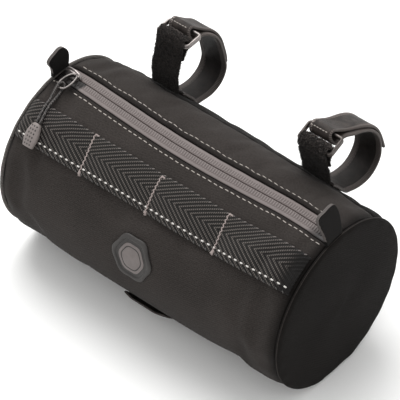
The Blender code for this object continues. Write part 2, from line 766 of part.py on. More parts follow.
def main():
    clear_scene()
    group = collection("handlebar_bag")
    cutters = collection("cutters")
    fabric = plain_material("charcoal_fabric", (0.055, 0.051, 0.050), 0.85)
    dark = plain_material("black_fabric", (0.020, 0.019, 0.019), 0.9)
    laminate = plain_material("grey_zip_tape", (0.27, 0.25, 0.25), 0.5)
    metal = plain_material("dark_metal", (0.30, 0.29, 0.28), 0.35, 0.9)
    bright = plain_material("ring_metal", (0.62, 0.60, 0.58), 0.3, 0.9)
    rubber = plain_material("black_rubber", (0.025, 0.025, 0.026), 0.55)
    grip = plain_material("grip_rubber", (0.16, 0.15, 0.15), 0.6)
    web = plain_material("black_webbing", (0.030, 0.030, 0.031), 0.8)
    pile = plain_material("pile_strap", (0.012, 0.011, 0.012), 0.95)
    smooth = plain_material("smooth_strap", (0.040, 0.037, 0.036), 0.6)
    seam = math.degrees(SEAM_GAP / BARREL_RADIUS)
    wall_panel("front_panel", lambda share: zip_edge(share, 1), lambda share: 360.0 + BACK_LOW_ANGLE - seam,
               31, fabric, group)
    wall_panel("back_panel", lambda share: BACK_LOW_ANGLE, lambda share: BACK_TOP_ANGLE, 17, dark, group)
    wall_panel("top_panel", lambda share: BACK_TOP_ANGLE + seam, lambda share: zip_edge(share, -1),
               6, fabric, group)
    tuck = math.degrees(TAPE_TUCK / BARREL_RADIUS)
    depth = WALL + TAPE_CLEARANCE
    wall_panel("zip_tape_front", lambda share: zip_degrees(share) + 0.5 * seam,
               lambda share: zip_edge(share, 1) + tuck, 4, laminate, group, depth, TAPE_THICKNESS)
    wall_panel("zip_tape_rear", lambda share: zip_edge(share, -1) - tuck,
               lambda share: zip_degrees(share) - 0.5 * seam, 4, laminate, group, depth, TAPE_THICKNESS)
    end_panel("left_end_panel", -1, LEFT_DOME, dark, group)
    end_panel("right_end_panel", 1, RIGHT_DOME, dark, group)
    daisy_webbing(web, group)
    badge(rubber, group)
    bottom_loop(web, group)
    zip_slider(metal, group, cutters)
    zip_bail(metal, group)
    route = [pull_point(*point) for point in CORD_ROUTE]
    tube("pull_cord", smooth_path(route, CORD_SAMPLES), CORD_DIAMETER, dark, group)
    pull_end(grip, group)
    end_tab("left_end_tab", -1, 0.0, dark, group)
    end_tab("right_end_tab", 1, math.radians(-16.0), dark, group)
    strap_front_leg("left_strap_front", STRAP_OFFSET_LEFT, LEFT_LEG, LEFT_RING, LEFT_SLACK, pile, group)
    strap_front_leg("right_strap_front", STRAP_OFFSET_RIGHT, RIGHT_LEG, RIGHT_RING, RIGHT_SLACK,
                    pile, group)
    ring("left_ring", STRAP_OFFSET_LEFT, LEFT_RING, bright, group)
    ring("right_ring", STRAP_OFFSET_RIGHT, RIGHT_RING, bright, group)
    strap("left_strap", STRAP_OFFSET_LEFT, LEFT_STRAP, LEFT_RING, LEFT_SLACK, LEFT_FOLD, LEFT_TIP,
          TAIL_LEFT, smooth, group)
    strap("right_strap", STRAP_OFFSET_RIGHT, RIGHT_STRAP, RIGHT_RING, RIGHT_SLACK, RIGHT_FOLD, RIGHT_TIP,
          TAIL_RIGHT, smooth, group)


main()
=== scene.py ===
# %% [markdown]
# # Dressing a roll-shaped handlebar bag
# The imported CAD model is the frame: a fixed, hollow, plain version of the bag. This lesson puts
# the cloth, thread, zip, webbing and straps of the real bag around it, one piece at a time.
# Every piece is a surface worked out with numpy, in metres, where the CAD says it goes.

# %% Load the frame
import math

import bpy
import numpy as np
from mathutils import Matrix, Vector


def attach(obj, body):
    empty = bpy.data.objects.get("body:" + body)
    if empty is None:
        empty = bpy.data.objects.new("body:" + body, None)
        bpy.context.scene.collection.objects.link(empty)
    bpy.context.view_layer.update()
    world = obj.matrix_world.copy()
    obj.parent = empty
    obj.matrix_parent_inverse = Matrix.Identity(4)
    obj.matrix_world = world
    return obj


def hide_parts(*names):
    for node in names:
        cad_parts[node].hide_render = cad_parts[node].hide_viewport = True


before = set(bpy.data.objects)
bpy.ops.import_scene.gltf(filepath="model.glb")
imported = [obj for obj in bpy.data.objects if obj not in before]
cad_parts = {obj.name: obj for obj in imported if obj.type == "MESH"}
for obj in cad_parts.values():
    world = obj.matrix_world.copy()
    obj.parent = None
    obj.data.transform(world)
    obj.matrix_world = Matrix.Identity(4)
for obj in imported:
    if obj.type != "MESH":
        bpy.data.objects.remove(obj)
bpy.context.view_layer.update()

# %% [markdown]
# ## Camera
# The photograph was taken from the front right and from well above, with a long lens: the
# barrel's far end is hardly smaller than the near one. A long lens from nearly two metres away
# gives that flat perspective. The lens's shift frames the bag as the photograph does.

# %% Place the camera
AXIS_HEIGHT = 0.064
CAMERA_AZIMUTH = math.radians(40.74)
CAMERA_ELEVATION = math.radians(44.0)
CAMERA_DISTANCE = 1.913

towards_camera = Vector((
    math.sin(CAMERA_AZIMUTH) * math.cos(CAMERA_ELEVATION),
    -math.cos(CAMERA_AZIMUTH) * math.cos(CAMERA_ELEVATION),
    math.sin(CAMERA_ELEVATION),
))
lens = bpy.data.cameras.new("photo_camera")
lens.lens = 245.4
lens.sensor_width = 36.0
lens.shift_x = 0.01
lens.shift_y = 0.0475
camera = bpy.data.objects.new("photo_camera", lens)
camera.location = Vector((0.0, 0.0, AXIS_HEIGHT)) + CAMERA_DISTANCE * towards_camera
camera.rotation_euler = (-towards_camera).to_track_quat("-Z", "Y").to_euler()
bpy.context.scene.collection.objects.link(camera)
bpy.context.scene.camera = camera
print("camera at", [round(value, 3) for value in camera.location])

# %% [markdown]
# ## The barrel's shape as a function
# A stuffed roll isn't a true cylinder: it swells at the back and front and sags along the top,
# more in the middle than at the ends, where round panels hold it. The CAD gives its radius as a
# function of the place along the barrel and of the angle round it (0 is the handlebar side, 90
# the top, 180 the front). Writing the same function here, for whole arrays at once, lets every
# stitch, rib and fold be placed by x and degrees, with no fitting.

# %% The radius at any place on the barrel
BARREL_LENGTH = 0.250
BARREL_RADIUS = 0.066
MM = 0.001

# The columns are share of the length, back swell, front swell, top dip and the zip's angle.
SECTIONS = np.array((
    (0.00, 0.030, 0.000, 0.000, 89.0),
    (0.05, 0.040, 0.010, 0.000, 89.3),
    (0.12, 0.066, 0.017, 0.006, 90.2),
    (0.25, 0.074, 0.019, 0.012, 92.0),
    (0.40, 0.078, 0.020, 0.015, 93.8),
    (0.55, 0.076, 0.020, 0.015, 94.4),
    (0.70, 0.062, 0.019, 0.012, 93.6),
    (0.85, 0.032, 0.017, 0.006, 92.4),
    (0.95, 0.008, 0.010, 0.000, 93.2),
    (1.00, 0.000, 0.000, 0.000, 94.0),
))
SHARE, BACK, FRONT, TOP_DIP, ZIP = range(5)
# The columns are share of the length, degrees, depth, half share and half degrees.
DENTS = (
    (0.075, 66.0, 0.018, 0.040, 16.0),
    (0.955, 104.0, 0.014, 0.030, 14.0),
    (0.930, 160.0, 0.010, 0.045, 24.0),
    (0.060, 170.0, 0.010, 0.050, 22.0),
)


def eased(knots, values, at):
    """A smooth curve through the knots: a cubic in each span, with matching slopes."""
    slopes = np.gradient(values, knots)
    index = np.clip(np.searchsorted(knots, at, side="right") - 1, 0, len(knots) - 2)
    width = knots[index + 1] - knots[index]
    t = (at - knots[index]) / width
    level = values[index] * (2 * t**3 - 3 * t**2 + 1) + values[index + 1] * (3 * t**2 - 2 * t**3)
    lean = slopes[index] * (t**3 - 2 * t**2 + t) + slopes[index + 1] * (t**3 - t**2)
    return level + lean * width


def lobe(degrees, centre, half_width):
    """A soft swell round the barrel: the square of a cosine, 0 from half_width on."""
    away = np.abs((degrees - centre + 180.0) % 360.0 - 180.0)
    return np.cos(0.5 * np.pi * np.clip(away / half_width, 0.0, 1.0)) ** 2


def section(column, x):
    """One column of the sections table at the place x along the barrel."""
    share = np.clip(np.asarray(x) / BARREL_LENGTH + 0.5, 0.0, 1.0)
    return eased(SECTIONS[:, SHARE], SECTIONS[:, column], share)


def barrel_radius(x, degrees):
    """The radius of a cylinder, plus the back and front swells, less the top dip and the dents."""
    swell = section(BACK, x) * lobe(degrees, 38.0, 95.0)
    swell = swell + section(FRONT, x) * lobe(degrees, 218.0, 75.0)
    swell = swell - section(TOP_DIP, x) * lobe(degrees, 94.0, 34.0)
    share = np.asarray(x) / BARREL_LENGTH + 0.5
    for at_share, at_degrees, depth, half_share, half_degrees in DENTS:
        along = np.clip(1.0 - ((share - at_share) / half_share) ** 2, 0.0, None)
        swell = swell - depth * along**2 * lobe(degrees, at_degrees, half_degrees)
    return BARREL_RADIUS * (1.0 + swell)


def on_barrel(x, degrees, out=0.0):
    """The point at x and degrees, out metres off the plain barrel. The underside is flat."""
    x, degrees, out = np.broadcast_arrays(*np.atleast_1d(x, degrees, out))
    radius = barrel_radius(x, degrees) + out
    angle = np.radians(degrees)
    z = np.maximum(AXIS_HEIGHT + radius * np.sin(angle), -out)
    return np.stack([x, radius * np.cos(angle), z], axis=-1)


def arc(metres):
    """An arc on the barrel in degrees."""
    return np.degrees(metres / BARREL_RADIUS)


print("radius in mm at the middle of the front:", round(float(barrel_radius(0.0, 180.0)) / MM, 1))

# %% [markdown]
# ## The pull cord
# A doubled cord, 1.8 mm thick, hangs from the zip's wire loop, and both its ends are moulded
# into the grip. The photograph shows it from end to end, so its length is the length of this
# route: out of the grip, up to the wire loop, round it and back. The points are those of the
# CAD, given from the slider's bridge: along the barrel, round it to the front, and out. A curve
# is the simplest true cord: one open spline with a round bevel.

# %% The cord's route and the cord
SLIDER_SHARE = 0.036
BRIDGE_PLACE = 0.0032
CORD_DIAMETER = 0.0018
CORD_ROUTE = np.array((
    (0.0072, 0.0440, 0.0067),
    (0.0062, 0.0400, 0.0060),
    (0.0050, 0.0350, 0.0052),
    (0.0040, 0.0300, 0.0044),
    (0.0030, 0.0255, 0.0027),
    (0.0022, 0.0210, 0.0014),
    (0.0016, 0.0168, 0.0012),
    (0.0013, 0.0138, 0.0013),
    (0.0009, 0.0118, 0.0022),
    (0.0000, 0.0112, 0.0033),
    (-0.0009, 0.0119, 0.0045),
    (-0.0013, 0.0138, 0.0052),
    (-0.0013, 0.0160, 0.0053),
    (-0.0010, 0.0190, 0.0045),
    (-0.0004, 0.0225, 0.0034),
    (0.0004, 0.0260, 0.0034),
    (0.0012, 0.0300, 0.0044),
    (0.0022, 0.0350, 0.0052),
    (0.0034, 0.0400, 0.0060),
    (0.0044, 0.0440, 0.0067),
))


def slider_x():
    """The slider's place along the barrel."""
    return (SLIDER_SHARE - 0.5) * BARREL_LENGTH


def from_bridge(along, round_front, out):
    """A point given from the slider's bridge: along the barrel, round it to the front, and out."""
    degrees = float(section(ZIP, slider_x())) + arc(round_front)
    return on_barrel(slider_x() + BRIDGE_PLACE + along, degrees, out)


def path_lengths(points):
    """The distance travelled at each point of a path: the running sum of its steps."""
    steps = np.linalg.norm(np.diff(points, axis=0), axis=1)
    return np.concatenate([[0.0], np.cumsum(steps)])


def smooth_path(points, count):
    """Evenly spaced points on one smooth curve through the given points."""
    points = np.asarray(points, dtype=float)
    knots = path_lengths(points)
    fine = np.linspace(0.0, knots[-1], count * 8)
    axes = range(points.shape[1])
    dense = np.stack([eased(knots, points[:, axis], fine) for axis in axes], axis=1)
    even = np.linspace(0.0, path_lengths(dense)[-1], count)
    return np.stack([np.interp(even, path_lengths(dense), dense[:, axis]) for axis in axes], axis=1)


def round_curve(name, points, diameter):
    """A curve object with one open spline and a round bevel of the given diameter."""
    curve = bpy.data.curves.new(name, "CURVE")
    curve.dimensions = "3D"
    curve.bevel_depth = 0.5 * diameter
    curve.bevel_resolution = 3
    curve.use_fill_caps = True
    spline = curve.splines.new("POLY")
    spline.points.add(len(points) - 1)
    spline.points.foreach_set("co", np.column_stack([points, np.ones(len(points))]).ravel())
    item = bpy.data.objects.new(name, curve)
    bpy.context.scene.collection.objects.link(item)
    return item


cord_line = smooth_path(from_bridge(*CORD_ROUTE.T), 88)
pull_cord = round_curve("doubled_pull_cord", cord_line, CORD_DIAMETER)

# %% [markdown]
# ## How a grid of numbers becomes a mesh
# Each piece below is a grid of points, `points[row, column]`. Neighbouring points make quads.
# A closed piece joins its last column to its first, and a cap shuts each end. The UV map is in
# millimetres, so a weave made from it has its real size wherever the cloth goes. `foreach_set`
# hands whole arrays to Blender, which is far quicker than a loop over vertices.

# %% Mesh helpers


def quads_of(index):
    """The four corners of each cell of a grid of vertex numbers."""
    cells = (index[:-1, :-1], index[:-1, 1:], index[1:, 1:], index[1:, :-1])
    return np.stack(cells, axis=-1).reshape(-1, 4)


def closed_faces(rows, columns):
    """The faces of a closed section's grid: its sides, its first cap and its last cap."""
    index = np.arange(rows * columns).reshape(rows, columns)
    return [quads_of(np.concatenate([index, index[:, :1]], axis=1)), index[:1, ::-1], index[-1:]]


def unit(vectors):
    """The vectors, each divided by its own length."""
    return vectors / np.linalg.norm(vectors, axis=-1, keepdims=True)


def signed_volume(points, faces):
    """Six times the volume inside the faces: below zero when they point inwards."""
    first = points[faces[:, 0]]
    total = 0.0
    for corner in range(1, faces.shape[1] - 1):
        total += np.sum(first * np.cross(points[faces[:, corner]], points[faces[:, corner + 1]]))
    return total


def make_mesh(name, points, faces, uv=None, closed=True):
    """A mesh object from points and a list of face arrays. A closed one is turned to face out."""
    points = np.asarray(points, dtype=float).reshape(-1, 3)
    if closed and sum(signed_volume(points, group) for group in faces) < 0.0:
        faces = [group[:, ::-1] for group in faces]
        uv = None if uv is None else [group[:, ::-1] for group in uv]
    corners = np.concatenate([group.ravel() for group in faces]).astype(np.int32)
    sizes = np.concatenate([np.full(len(group), group.shape[1]) for group in faces])
    mesh = bpy.data.meshes.new(name)
    mesh.vertices.add(len(points))
    mesh.vertices.foreach_set("co", points.astype(np.float32).ravel())
    mesh.loops.add(len(corners))
    mesh.loops.foreach_set("vertex_index", corners)
    mesh.polygons.add(len(sizes))
    starts = np.concatenate([[0], np.cumsum(sizes)[:-1]]).astype(np.int32)
    mesh.polygons.foreach_set("loop_start", starts)
    mesh.polygons.foreach_set("use_smooth", np.ones(len(sizes), dtype=bool))
    if uv is not None:
        layer = mesh.uv_layers.new(name="cloth_mm")
        layer.data.foreach_set("uv", np.concatenate([group.reshape(-1) for group in uv]))
    mesh.update(calc_edges=True)
    mesh.validate()
    item = bpy.data.objects.new(name, mesh)
    bpy.context.scene.collection.objects.link(item)
    return item


def grow_wall(item, thickness):
    """Gives an open sheet a wall that grows inwards."""
    solidify = item.modifiers.new("wall", "SOLIDIFY")
    solidify.thickness = thickness
    solidify.offset = -1.0
    solidify.use_even_offset = False


def sheet_mesh(name, points, uv, wall=0.0):
    """An open grid, with a wall's thickness grown inwards by Solidify. uv is in millimetres."""
    rows, columns = points.shape[:2]
    index = quads_of(np.arange(rows * columns).reshape(rows, columns))
    item = make_mesh(name, points, [index], [uv.reshape(-1, 2)[index]], closed=False)
    if wall:
        grow_wall(item, wall)
    return item


def loop_mesh(name, points, uv, joined=False):
    """A closed section carried along a path: capped at both ends, or joined into a ring."""
    rows, columns = points.shape[:2]
    index = np.arange(rows * columns).reshape(rows, columns)
    wide = np.concatenate([index, index[:, :1]], axis=1)
    spots = np.arange(rows * (columns + 1)).reshape(rows, columns + 1)
    if joined:
        wide = np.concatenate([wide, wide[:1]], axis=0)
        spots = np.concatenate([spots, spots[-1:]], axis=0)
    faces = [quads_of(wide)]
    maps = [uv.reshape(-1, 2)[quads_of(spots)]]
    if not joined:
        faces += [index[:1, ::-1], index[-1:]]
        maps += [uv[:1, -2::-1], uv[-1:, :-1]]
    return make_mesh(name, points, faces, maps)


def repeated(name, shape, shape_faces, places, ahead, out):
    """One small shape set down at many places, each turned to its own ahead and out directions."""
    ahead = unit(ahead)
    side = unit(np.cross(out, ahead))
    out = np.cross(ahead, side)
    shape = np.broadcast_to(shape, (len(places),) + shape.shape[-2:])
    points = places[:, None] + shape[..., :1] * ahead[:, None]
    points = points + shape[..., 1:2] * side[:, None] + shape[..., 2:] * out[:, None]
    shift = np.arange(len(places))[:, None, None] * shape.shape[1]
    faces = [(group[None] + shift).reshape(-1, group.shape[1]) for group in shape_faces]
    return make_mesh(name, points, faces)


def tube_grid(path, radius, sides, up):
    """Circles of the given radius along a path. up is any direction that it never runs along."""
    ahead = np.gradient(path, axis=0)
    side = unit(np.cross(up, ahead))
    over = unit(np.cross(ahead, side))
    turn = np.linspace(0.0, 2.0 * np.pi, sides, endpoint=False)
    radius = np.broadcast_to(radius, len(path))[:, None, None]
    ring = np.cos(turn)[None, :, None] * side[:, None] + np.sin(turn)[None, :, None] * over[:, None]
    return path[:, None] + radius * ring


def tube_uv(path, radius, sides):
    """A tube's UV: millimetres along it, and millimetres round it."""
    along = path_lengths(path)[:, None] / MM * np.ones(sides + 1)
    around = np.linspace(0.0, 2.0 * np.pi, sides + 1) * float(np.mean(radius)) / MM
    return np.stack([along, np.broadcast_to(around, along.shape)], axis=-1)


def tube_mesh(name, path, radius, sides, up):
    """A round tube along a path, capped at both ends."""
    return loop_mesh(name, tube_grid(path, radius, sides, up), tube_uv(path, radius, sides))


def finish_piece(item, material, slot, *nodes):
    """Gives a piece its material and body, and says which CAD nodes it stands for. The slot is not
    used.
    """
    item.data.materials.clear()
    item.data.materials.append(material)
    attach(item, "root")
    if nodes:
        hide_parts(*nodes)
    print(item.name, "replaces", nodes or "nothing")
    return item


# %% [markdown]
# ## A small kit for materials
# Blender's materials are graphs of nodes. `start_material` sets the constant values on the
# shader's own sockets, and `put` adds one node with its settings and inputs in a single line.
# Short names for the sums, the stripes and the noise let each finish below read as a recipe.

# %% Material helpers
# Painted shade, and on a few parts a darker tone, blends a finish towards this colour.
PAINTED_SHADE_AND_TONE_DARK = (0.004, 0.0033, 0.003)
# A wave texture's stripes lie this far apart when its scale is 1.
WAVE_PITCH = 0.314


def start_material(name, colour, roughness, **sockets):
    """A material with a shader and its constant values. A socket's name has _ for a space."""
    material = bpy.data.materials.new(name)
    material.use_nodes = True
    shader = material.node_tree.nodes["Principled BSDF"]
    shader.inputs["Base Color"].default_value = (*colour, 1.0)
    shader.inputs["Roughness"].default_value = roughness
    for socket, value in sockets.items():
        shader.inputs[socket.replace("_", " ")].default_value = value
    return material, material.node_tree, shader


def put(tree, kind, inputs=None, **settings):
    """Adds a node. inputs gives each socket a value, or the output of another node."""
    item = tree.nodes.new("ShaderNode" + kind)
    for name, value in settings.items():
        setattr(item, name, value)
    for name, value in (inputs or {}).items():
        if isinstance(value, bpy.types.NodeSocket):
            tree.links.new(value, item.inputs[name])
        else:
            item.inputs[name].default_value = value
    return item


def maths(tree, operation, *values):
    """One sum on numbers: the output of a Math node."""
    return put(tree, "Math", dict(enumerate(values)), operation=operation).outputs[0]


def times(tree, first, second):
    """One number times another."""
    return maths(tree, "MULTIPLY", first, second)


def plus(tree, first, second):
    """One number plus another."""
    return maths(tree, "ADD", first, second)


def clamped(value):
    """The output of a Math node, kept between 0 and 1."""
    value.node.use_clamp = True
    return value


def object_place(tree):
    """The place on the piece, in metres."""
    return put(tree, "TexCoord").outputs["Object"]


def cloth_uv(tree):
    """The piece's own UV map, in millimetres."""
    return put(tree, "UVMap", uv_map="cloth_mm").outputs[0]


def noise(tree, place, scale, detail):
    """Uneven patches: the output of a noise texture."""
    return put(tree, "TexNoise", {"Vector": place, "Scale": scale, "Detail": detail}).outputs["Fac"]


def wave(tree, place, scale, direction, distortion=0.0):
    """Soft stripes across X, across Y or slanted: the output of a wave texture."""
    inputs = {"Vector": place, "Scale": scale, "Distortion": distortion}
    return put(tree, "TexWave", inputs, bands_direction=direction).outputs["Fac"]


def paint(tree, shader, colour):
    """Sends a colour to the shader."""
    tree.links.new(colour, shader.inputs["Base Color"])


def blend_colours(tree, share, first, second):
    """A mix of two colours, each a value or an output. share 0 gives the first."""
    node = put(tree, "Mix", {"Factor": share}, data_type="RGBA")
    for socket, value in ((node.inputs[6], first), (node.inputs[7], second)):
        if isinstance(value, bpy.types.NodeSocket):
            tree.links.new(value, socket)
        else:
            socket.default_value = (*value, 1.0)
    return node.outputs[2]


def with_painted_shade_and_tone(tree, colour):
    """The colour, darkened by the attribute that the piece stores at its vertices: painted shade,
    and on a few parts a darker tone.
    """
    painted_shade_and_tone = put(tree, "Attribute", attribute_name="painted_shade_and_tone").outputs["Fac"]
    return blend_colours(tree, painted_shade_and_tone, colour, PAINTED_SHADE_AND_TONE_DARK)


def mark_painted_shade_and_tone(item, amount):
    """Stores a number at each vertex: how much darker the finish is there, from 0 to 1. It is
    painted shade on most pieces; on the slider's front and the straps' inner side it only makes
    them darker.
    """
    layer = item.data.attributes.new("painted_shade_and_tone", "FLOAT", "POINT")
    layer.data.foreach_set("value", np.clip(amount, 0.0, 1.0).astype(np.float32).ravel())
    return item


def bump(tree, shader, height, distance, strength=1.0):
    """Sends a height to the shader's normal."""
    inputs = {"Height": height, "Distance": distance, "Strength": strength}
    tree.links.new(put(tree, "Bump", inputs).outputs[0], shader.inputs["Normal"])


def weave_height(tree, uv, pitch):
    """A weave from two crossed waves and a slanted one: threads of the given pitch."""
    scale = WAVE_PITCH / pitch
    warp = wave(tree, uv, scale, "X")
    weft = wave(tree, uv, scale, "Y")
    twill = wave(tree, uv, 0.7 * scale, "DIAGONAL", 0.6)
    crossed = maths(tree, "MAXIMUM", warp, weft)
    return times(tree, crossed, plus(tree, times(tree, twill, 0.6), 0.4))


print("a hollow darkens towards", PAINTED_SHADE_AND_TONE_DARK)

# %% [markdown]
# ## Cloth finishes
# The body is a coarse polyester cloth with a fine twill, charcoal with a slightly warm cast.
# Close to, its threads differ a little in shade, so noise at two scales moves the colour. The end
# panels and the handlebar side are a blacker cloth, and the left end's turned edge is a paler one,
# a painted highlight where light falls on it. All scatter light at grazing angles, which a little
# sheen gives.

# %% Charcoal and black cloth


def cloth_material(name, dark, light, pitch, sheen):
    """Woven cloth: a weave in the bump and in the colour, and two scales of uneven dye."""
    material, tree, shader = start_material(name, light, 0.88, Specular_IOR_Level=0.09,
                                            Sheen_Weight=sheen, Sheen_Roughness=0.5)
    uv = cloth_uv(tree)
    place = object_place(tree)
    weave = weave_height(tree, uv, pitch)
    cloudy = noise(tree, place, 22.0, 4.0)
    slubs = noise(tree, uv, 0.9, 5.0)
    shade = plus(tree, times(tree, weave, 0.5), times(tree, slubs, 1.3))
    shade = plus(tree, shade, times(tree, cloudy, 0.7))
    dyed = blend_colours(tree, clamped(maths(tree, "MULTIPLY_ADD", shade, 1.1, -0.87)), dark, light)
    # Painted shade, from the piece's own numbers, darkens the dyed colour.
    paint(tree, shader, with_painted_shade_and_tone(tree, dyed))
    bump(tree, shader, plus(tree, weave, times(tree, slubs, 0.5)), 0.00022, 0.8)
    return material


charcoal_cloth = cloth_material("charcoal_cloth", (0.0140, 0.0118, 0.0106),
                                (0.0460, 0.0395, 0.0362), 0.62, 0.03)
black_cloth = cloth_material("black_cloth", (0.0030, 0.0025, 0.0022),
                             (0.0100, 0.0083, 0.0074), 0.62, 0.01)
# A paler cloth for the left end's turned edge: a painted highlight.
painted_highlight_cloth = cloth_material("painted_highlight_cloth", (0.060, 0.054, 0.050), (0.165, 0.152, 0.142), 1.10, 0.03)
print("cloth finishes:", charcoal_cloth.name, black_cloth.name, painted_highlight_cloth.name)

# %% [markdown]
# ## Letting the cloth settle
# Real cloth sewn round a roll doesn't lie as smoothly as a formula: it bulges softly between
# its seams and gathers a little where the thread pulls. A cloth simulation gives that. A plain
# sheet of the barrel's shape, pinned along the zip, the back seams and the end seams, is cut
# one and a half percent too large and pushed out by a gentle pressure for a few frames. What is
# kept is only how far each place moved in or out, at most a millimetre and a half, and smoothed.
# Every piece that lies on the cloth asks the same table, so none of them sinks in or floats.

# %% Simulate the barrel's sheet
ZIP_HALF = 0.5 * 0.0165
SEAM_LOW = -52.0
CLOTH_ROWS = 64
CLOTH_COLUMNS = 128
CLOTH_FRAMES = 16
MOST_MOVE = 0.0015
SEWN_DEGREES = 1.4


def zip_edge(x, side):
    """The angle of the cloth's edge along the zip: side is 1 for the front and -1 for the rear."""
    return section(ZIP, x) + side * arc(ZIP_HALF)


def smooth_step(value):
    """Rises from 0 to 1 with level ends."""
    value = np.clip(value, 0.0, 1.0)
    return value * value * (3.0 - 2.0 * value)


def seam_top(x):
    """The angle of the seam behind the zip's strip, which runs further back at the left end."""
    return 43.0 + 11.5 * smooth_step((x + 0.115) / 0.055) - 3.5 * smooth_step((x - 0.045) / 0.055)


def settle_cloth():
    """Radial moves of the sheet's points: rows along the barrel, columns round it."""
    x = np.linspace(-0.5, 0.5, CLOTH_ROWS)[:, None] * BARREL_LENGTH
    t = np.linspace(0.0, 1.0, CLOTH_COLUMNS)[None]
    degrees = zip_edge(x, 1) * (1.0 - t) + (360.0 + zip_edge(x, -1)) * t
    start = on_barrel(x + 0.0 * t, degrees, 0.0)
    item = sheet_mesh("settling_sheet", start, start[..., :2])
    seams = np.abs(degrees - (360.0 + SEAM_LOW)) < SEWN_DEGREES
    seams |= np.abs(degrees - (360.0 + seam_top(x))) < SEWN_DEGREES
    seams[[0, -1]] = True
    seams[:, [0, -1]] = True
    group = item.vertex_groups.new(name="sewn")
    group.add([int(number) for number in np.flatnonzero(seams.ravel())], 1.0, "REPLACE")
    cloth = item.modifiers.new("cloth", "CLOTH")
    cloth.settings.vertex_group_mass = "sewn"
    cloth.settings.quality = 4
    cloth.settings.mass = 0.25
    cloth.settings.tension_stiffness = 12.0
    cloth.settings.compression_stiffness = 12.0
    cloth.settings.shear_stiffness = 6.0
    cloth.settings.bending_stiffness = 1.2
    cloth.settings.shrink_min = -0.015
    cloth.settings.use_pressure = True
    cloth.settings.uniform_pressure_force = 1.2
    cloth.settings.effector_weights.gravity = 0.0
    cloth.collision_settings.use_collision = False
    cloth.point_cache.frame_end = CLOTH_FRAMES
    scene = bpy.context.scene
    for number in range(1, CLOTH_FRAMES + 1):
        scene.frame_set(number)
    shaped = item.evaluated_get(bpy.context.evaluated_depsgraph_get()).to_mesh()
    moved = np.empty(CLOTH_ROWS * CLOTH_COLUMNS * 3)
    shaped.vertices.foreach_get("co", moved)
    moved = moved.reshape(CLOTH_ROWS, CLOTH_COLUMNS, 3)
    scene.frame_set(1)
    bpy.data.objects.remove(item, do_unlink=True)
    angle = np.radians(degrees)
    outward = np.stack([np.zeros_like(angle), np.cos(angle), np.sin(angle)], axis=-1)
    rise = np.sum((moved - start) * outward, axis=-1)
    return MOST_MOVE * np.tanh(rise / MOST_MOVE)


settled = settle_cloth()
print("cloth moved in mm:", round(settled.min() / MM, 2), "to", round(settled.max() / MM, 2))

# %% [markdown]
# ## Reading the settled table
# A cubic B-spline reads the table between its points. It is smooth in its slopes too, so the
# cloth shows no grid lines. On top of it come the gathers: close to the end seams the thread
# draws the cloth in, with shallow ripples across the seam that die away within a few
# centimetres.

# %% Where the cloth really lies
# The cloth moves freely from this height on. Lower down the floor holds it.
FREE_HEIGHT = 0.012


def spline_weights(f):
    """The four weights of a uniform cubic B-spline at the share f of a cell."""
    before, here = (1 - f) ** 3 / 6, (3 * f**3 - 6 * f**2 + 4) / 6
    return before, here, (-3 * f**3 + 3 * f**2 + 3 * f + 1) / 6, f**3 / 6


def read_table(table, row, column):
    """The table's smooth value between its points, with its edges repeated outwards."""
    row0, column0 = np.floor(row).astype(int), np.floor(column).astype(int)
    total = 0.0
    for i, row_weight in enumerate(spline_weights(row - row0)):
        for j, column_weight in enumerate(spline_weights(column - column0)):
            r = np.clip(row0 + i - 1, 0, table.shape[0] - 1)
            c = np.clip(column0 + j - 1, 0, table.shape[1] - 1)
            total = total + row_weight * column_weight * table[r, c]
    return total


def cloth_rise(x, degrees):
    """How far the cloth stands off the plain barrel: settled table, gathers and end seams."""
    x, degrees = np.broadcast_arrays(*np.atleast_1d(x, degrees))
    front = zip_edge(x, 1)
    t = ((degrees - front) % 360.0) / (360.0 + zip_edge(x, -1) - front)
    t = np.clip(t, 0.0, 1.0)
    row = np.clip(x / BARREL_LENGTH + 0.5, 0.0, 1.0) * (CLOTH_ROWS - 1)
    rise = read_table(settled, row, t * (CLOTH_COLUMNS - 1))
    to_end = np.clip(0.5 * BARREL_LENGTH - np.abs(x), 0.0, None)
    ripple = np.sin(np.radians(degrees) * 19.0 + 2.0 * np.sin(np.radians(degrees) * 3.0 + 1.0))
    gathers = 0.00032 * ripple * np.exp(-to_end / 0.011)
    pulled_in = 0.0019 * np.exp(-((to_end / 0.0042) ** 1.3))
    above_floor = AXIS_HEIGHT + barrel_radius(x, degrees) * np.sin(np.radians(degrees))
    return (rise + gathers) * smooth_step(above_floor / FREE_HEIGHT) - pulled_in


def on_cloth(x, degrees, out=0.0):
    """The point at x and degrees, out metres off the cloth."""
    return on_barrel(x, degrees, cloth_rise(x, degrees) + out)


def cloth_frame(x, degrees):
    """At each place: the direction along the barrel, the one round it, and outwards."""
    step = 0.0005
    along = on_cloth(x + step, degrees) - on_cloth(x - step, degrees)
    around = on_cloth(x, degrees + arc(step)) - on_cloth(x, degrees - arc(step))
    along, around = unit(along), unit(around)
    return along, around, np.cross(around, along)


print("cloth stands", round(float(cloth_rise(0.02, 200.0)[0]) / MM, 2), "mm proud in the middle")

# %% [markdown]
# ## The cloth panels
# The barrel is three panels: the charcoal front that runs from the zip down and under to the
# back seam, the strip behind the zip, and the black handlebar side. Each is one sheet over
# on_cloth, with a wall grown inwards. Along the zip the cloth's edge is folded under and
# stitched: the fold stands as a small lip, the stitches lie in a groove, and at the very edge
# the cloth turns down to the tape. That is a profile of the distance from the edge.

# %% Front, top and back panels
WALL = 0.0018
FRONT_STITCH = 0.0029
REAR_STITCH = 0.0040
SEAM_DRAW = 0.0007
# Painted shade along the end seams reaches further in on the right half than on the left one.
END_SHADE_RIGHT, END_SHADE_LEFT = 0.0066, 0.0012
# Painted shadow of the zip's pull darkens the front hem to the left of this place.
PULL_SHADE_X = -0.1000
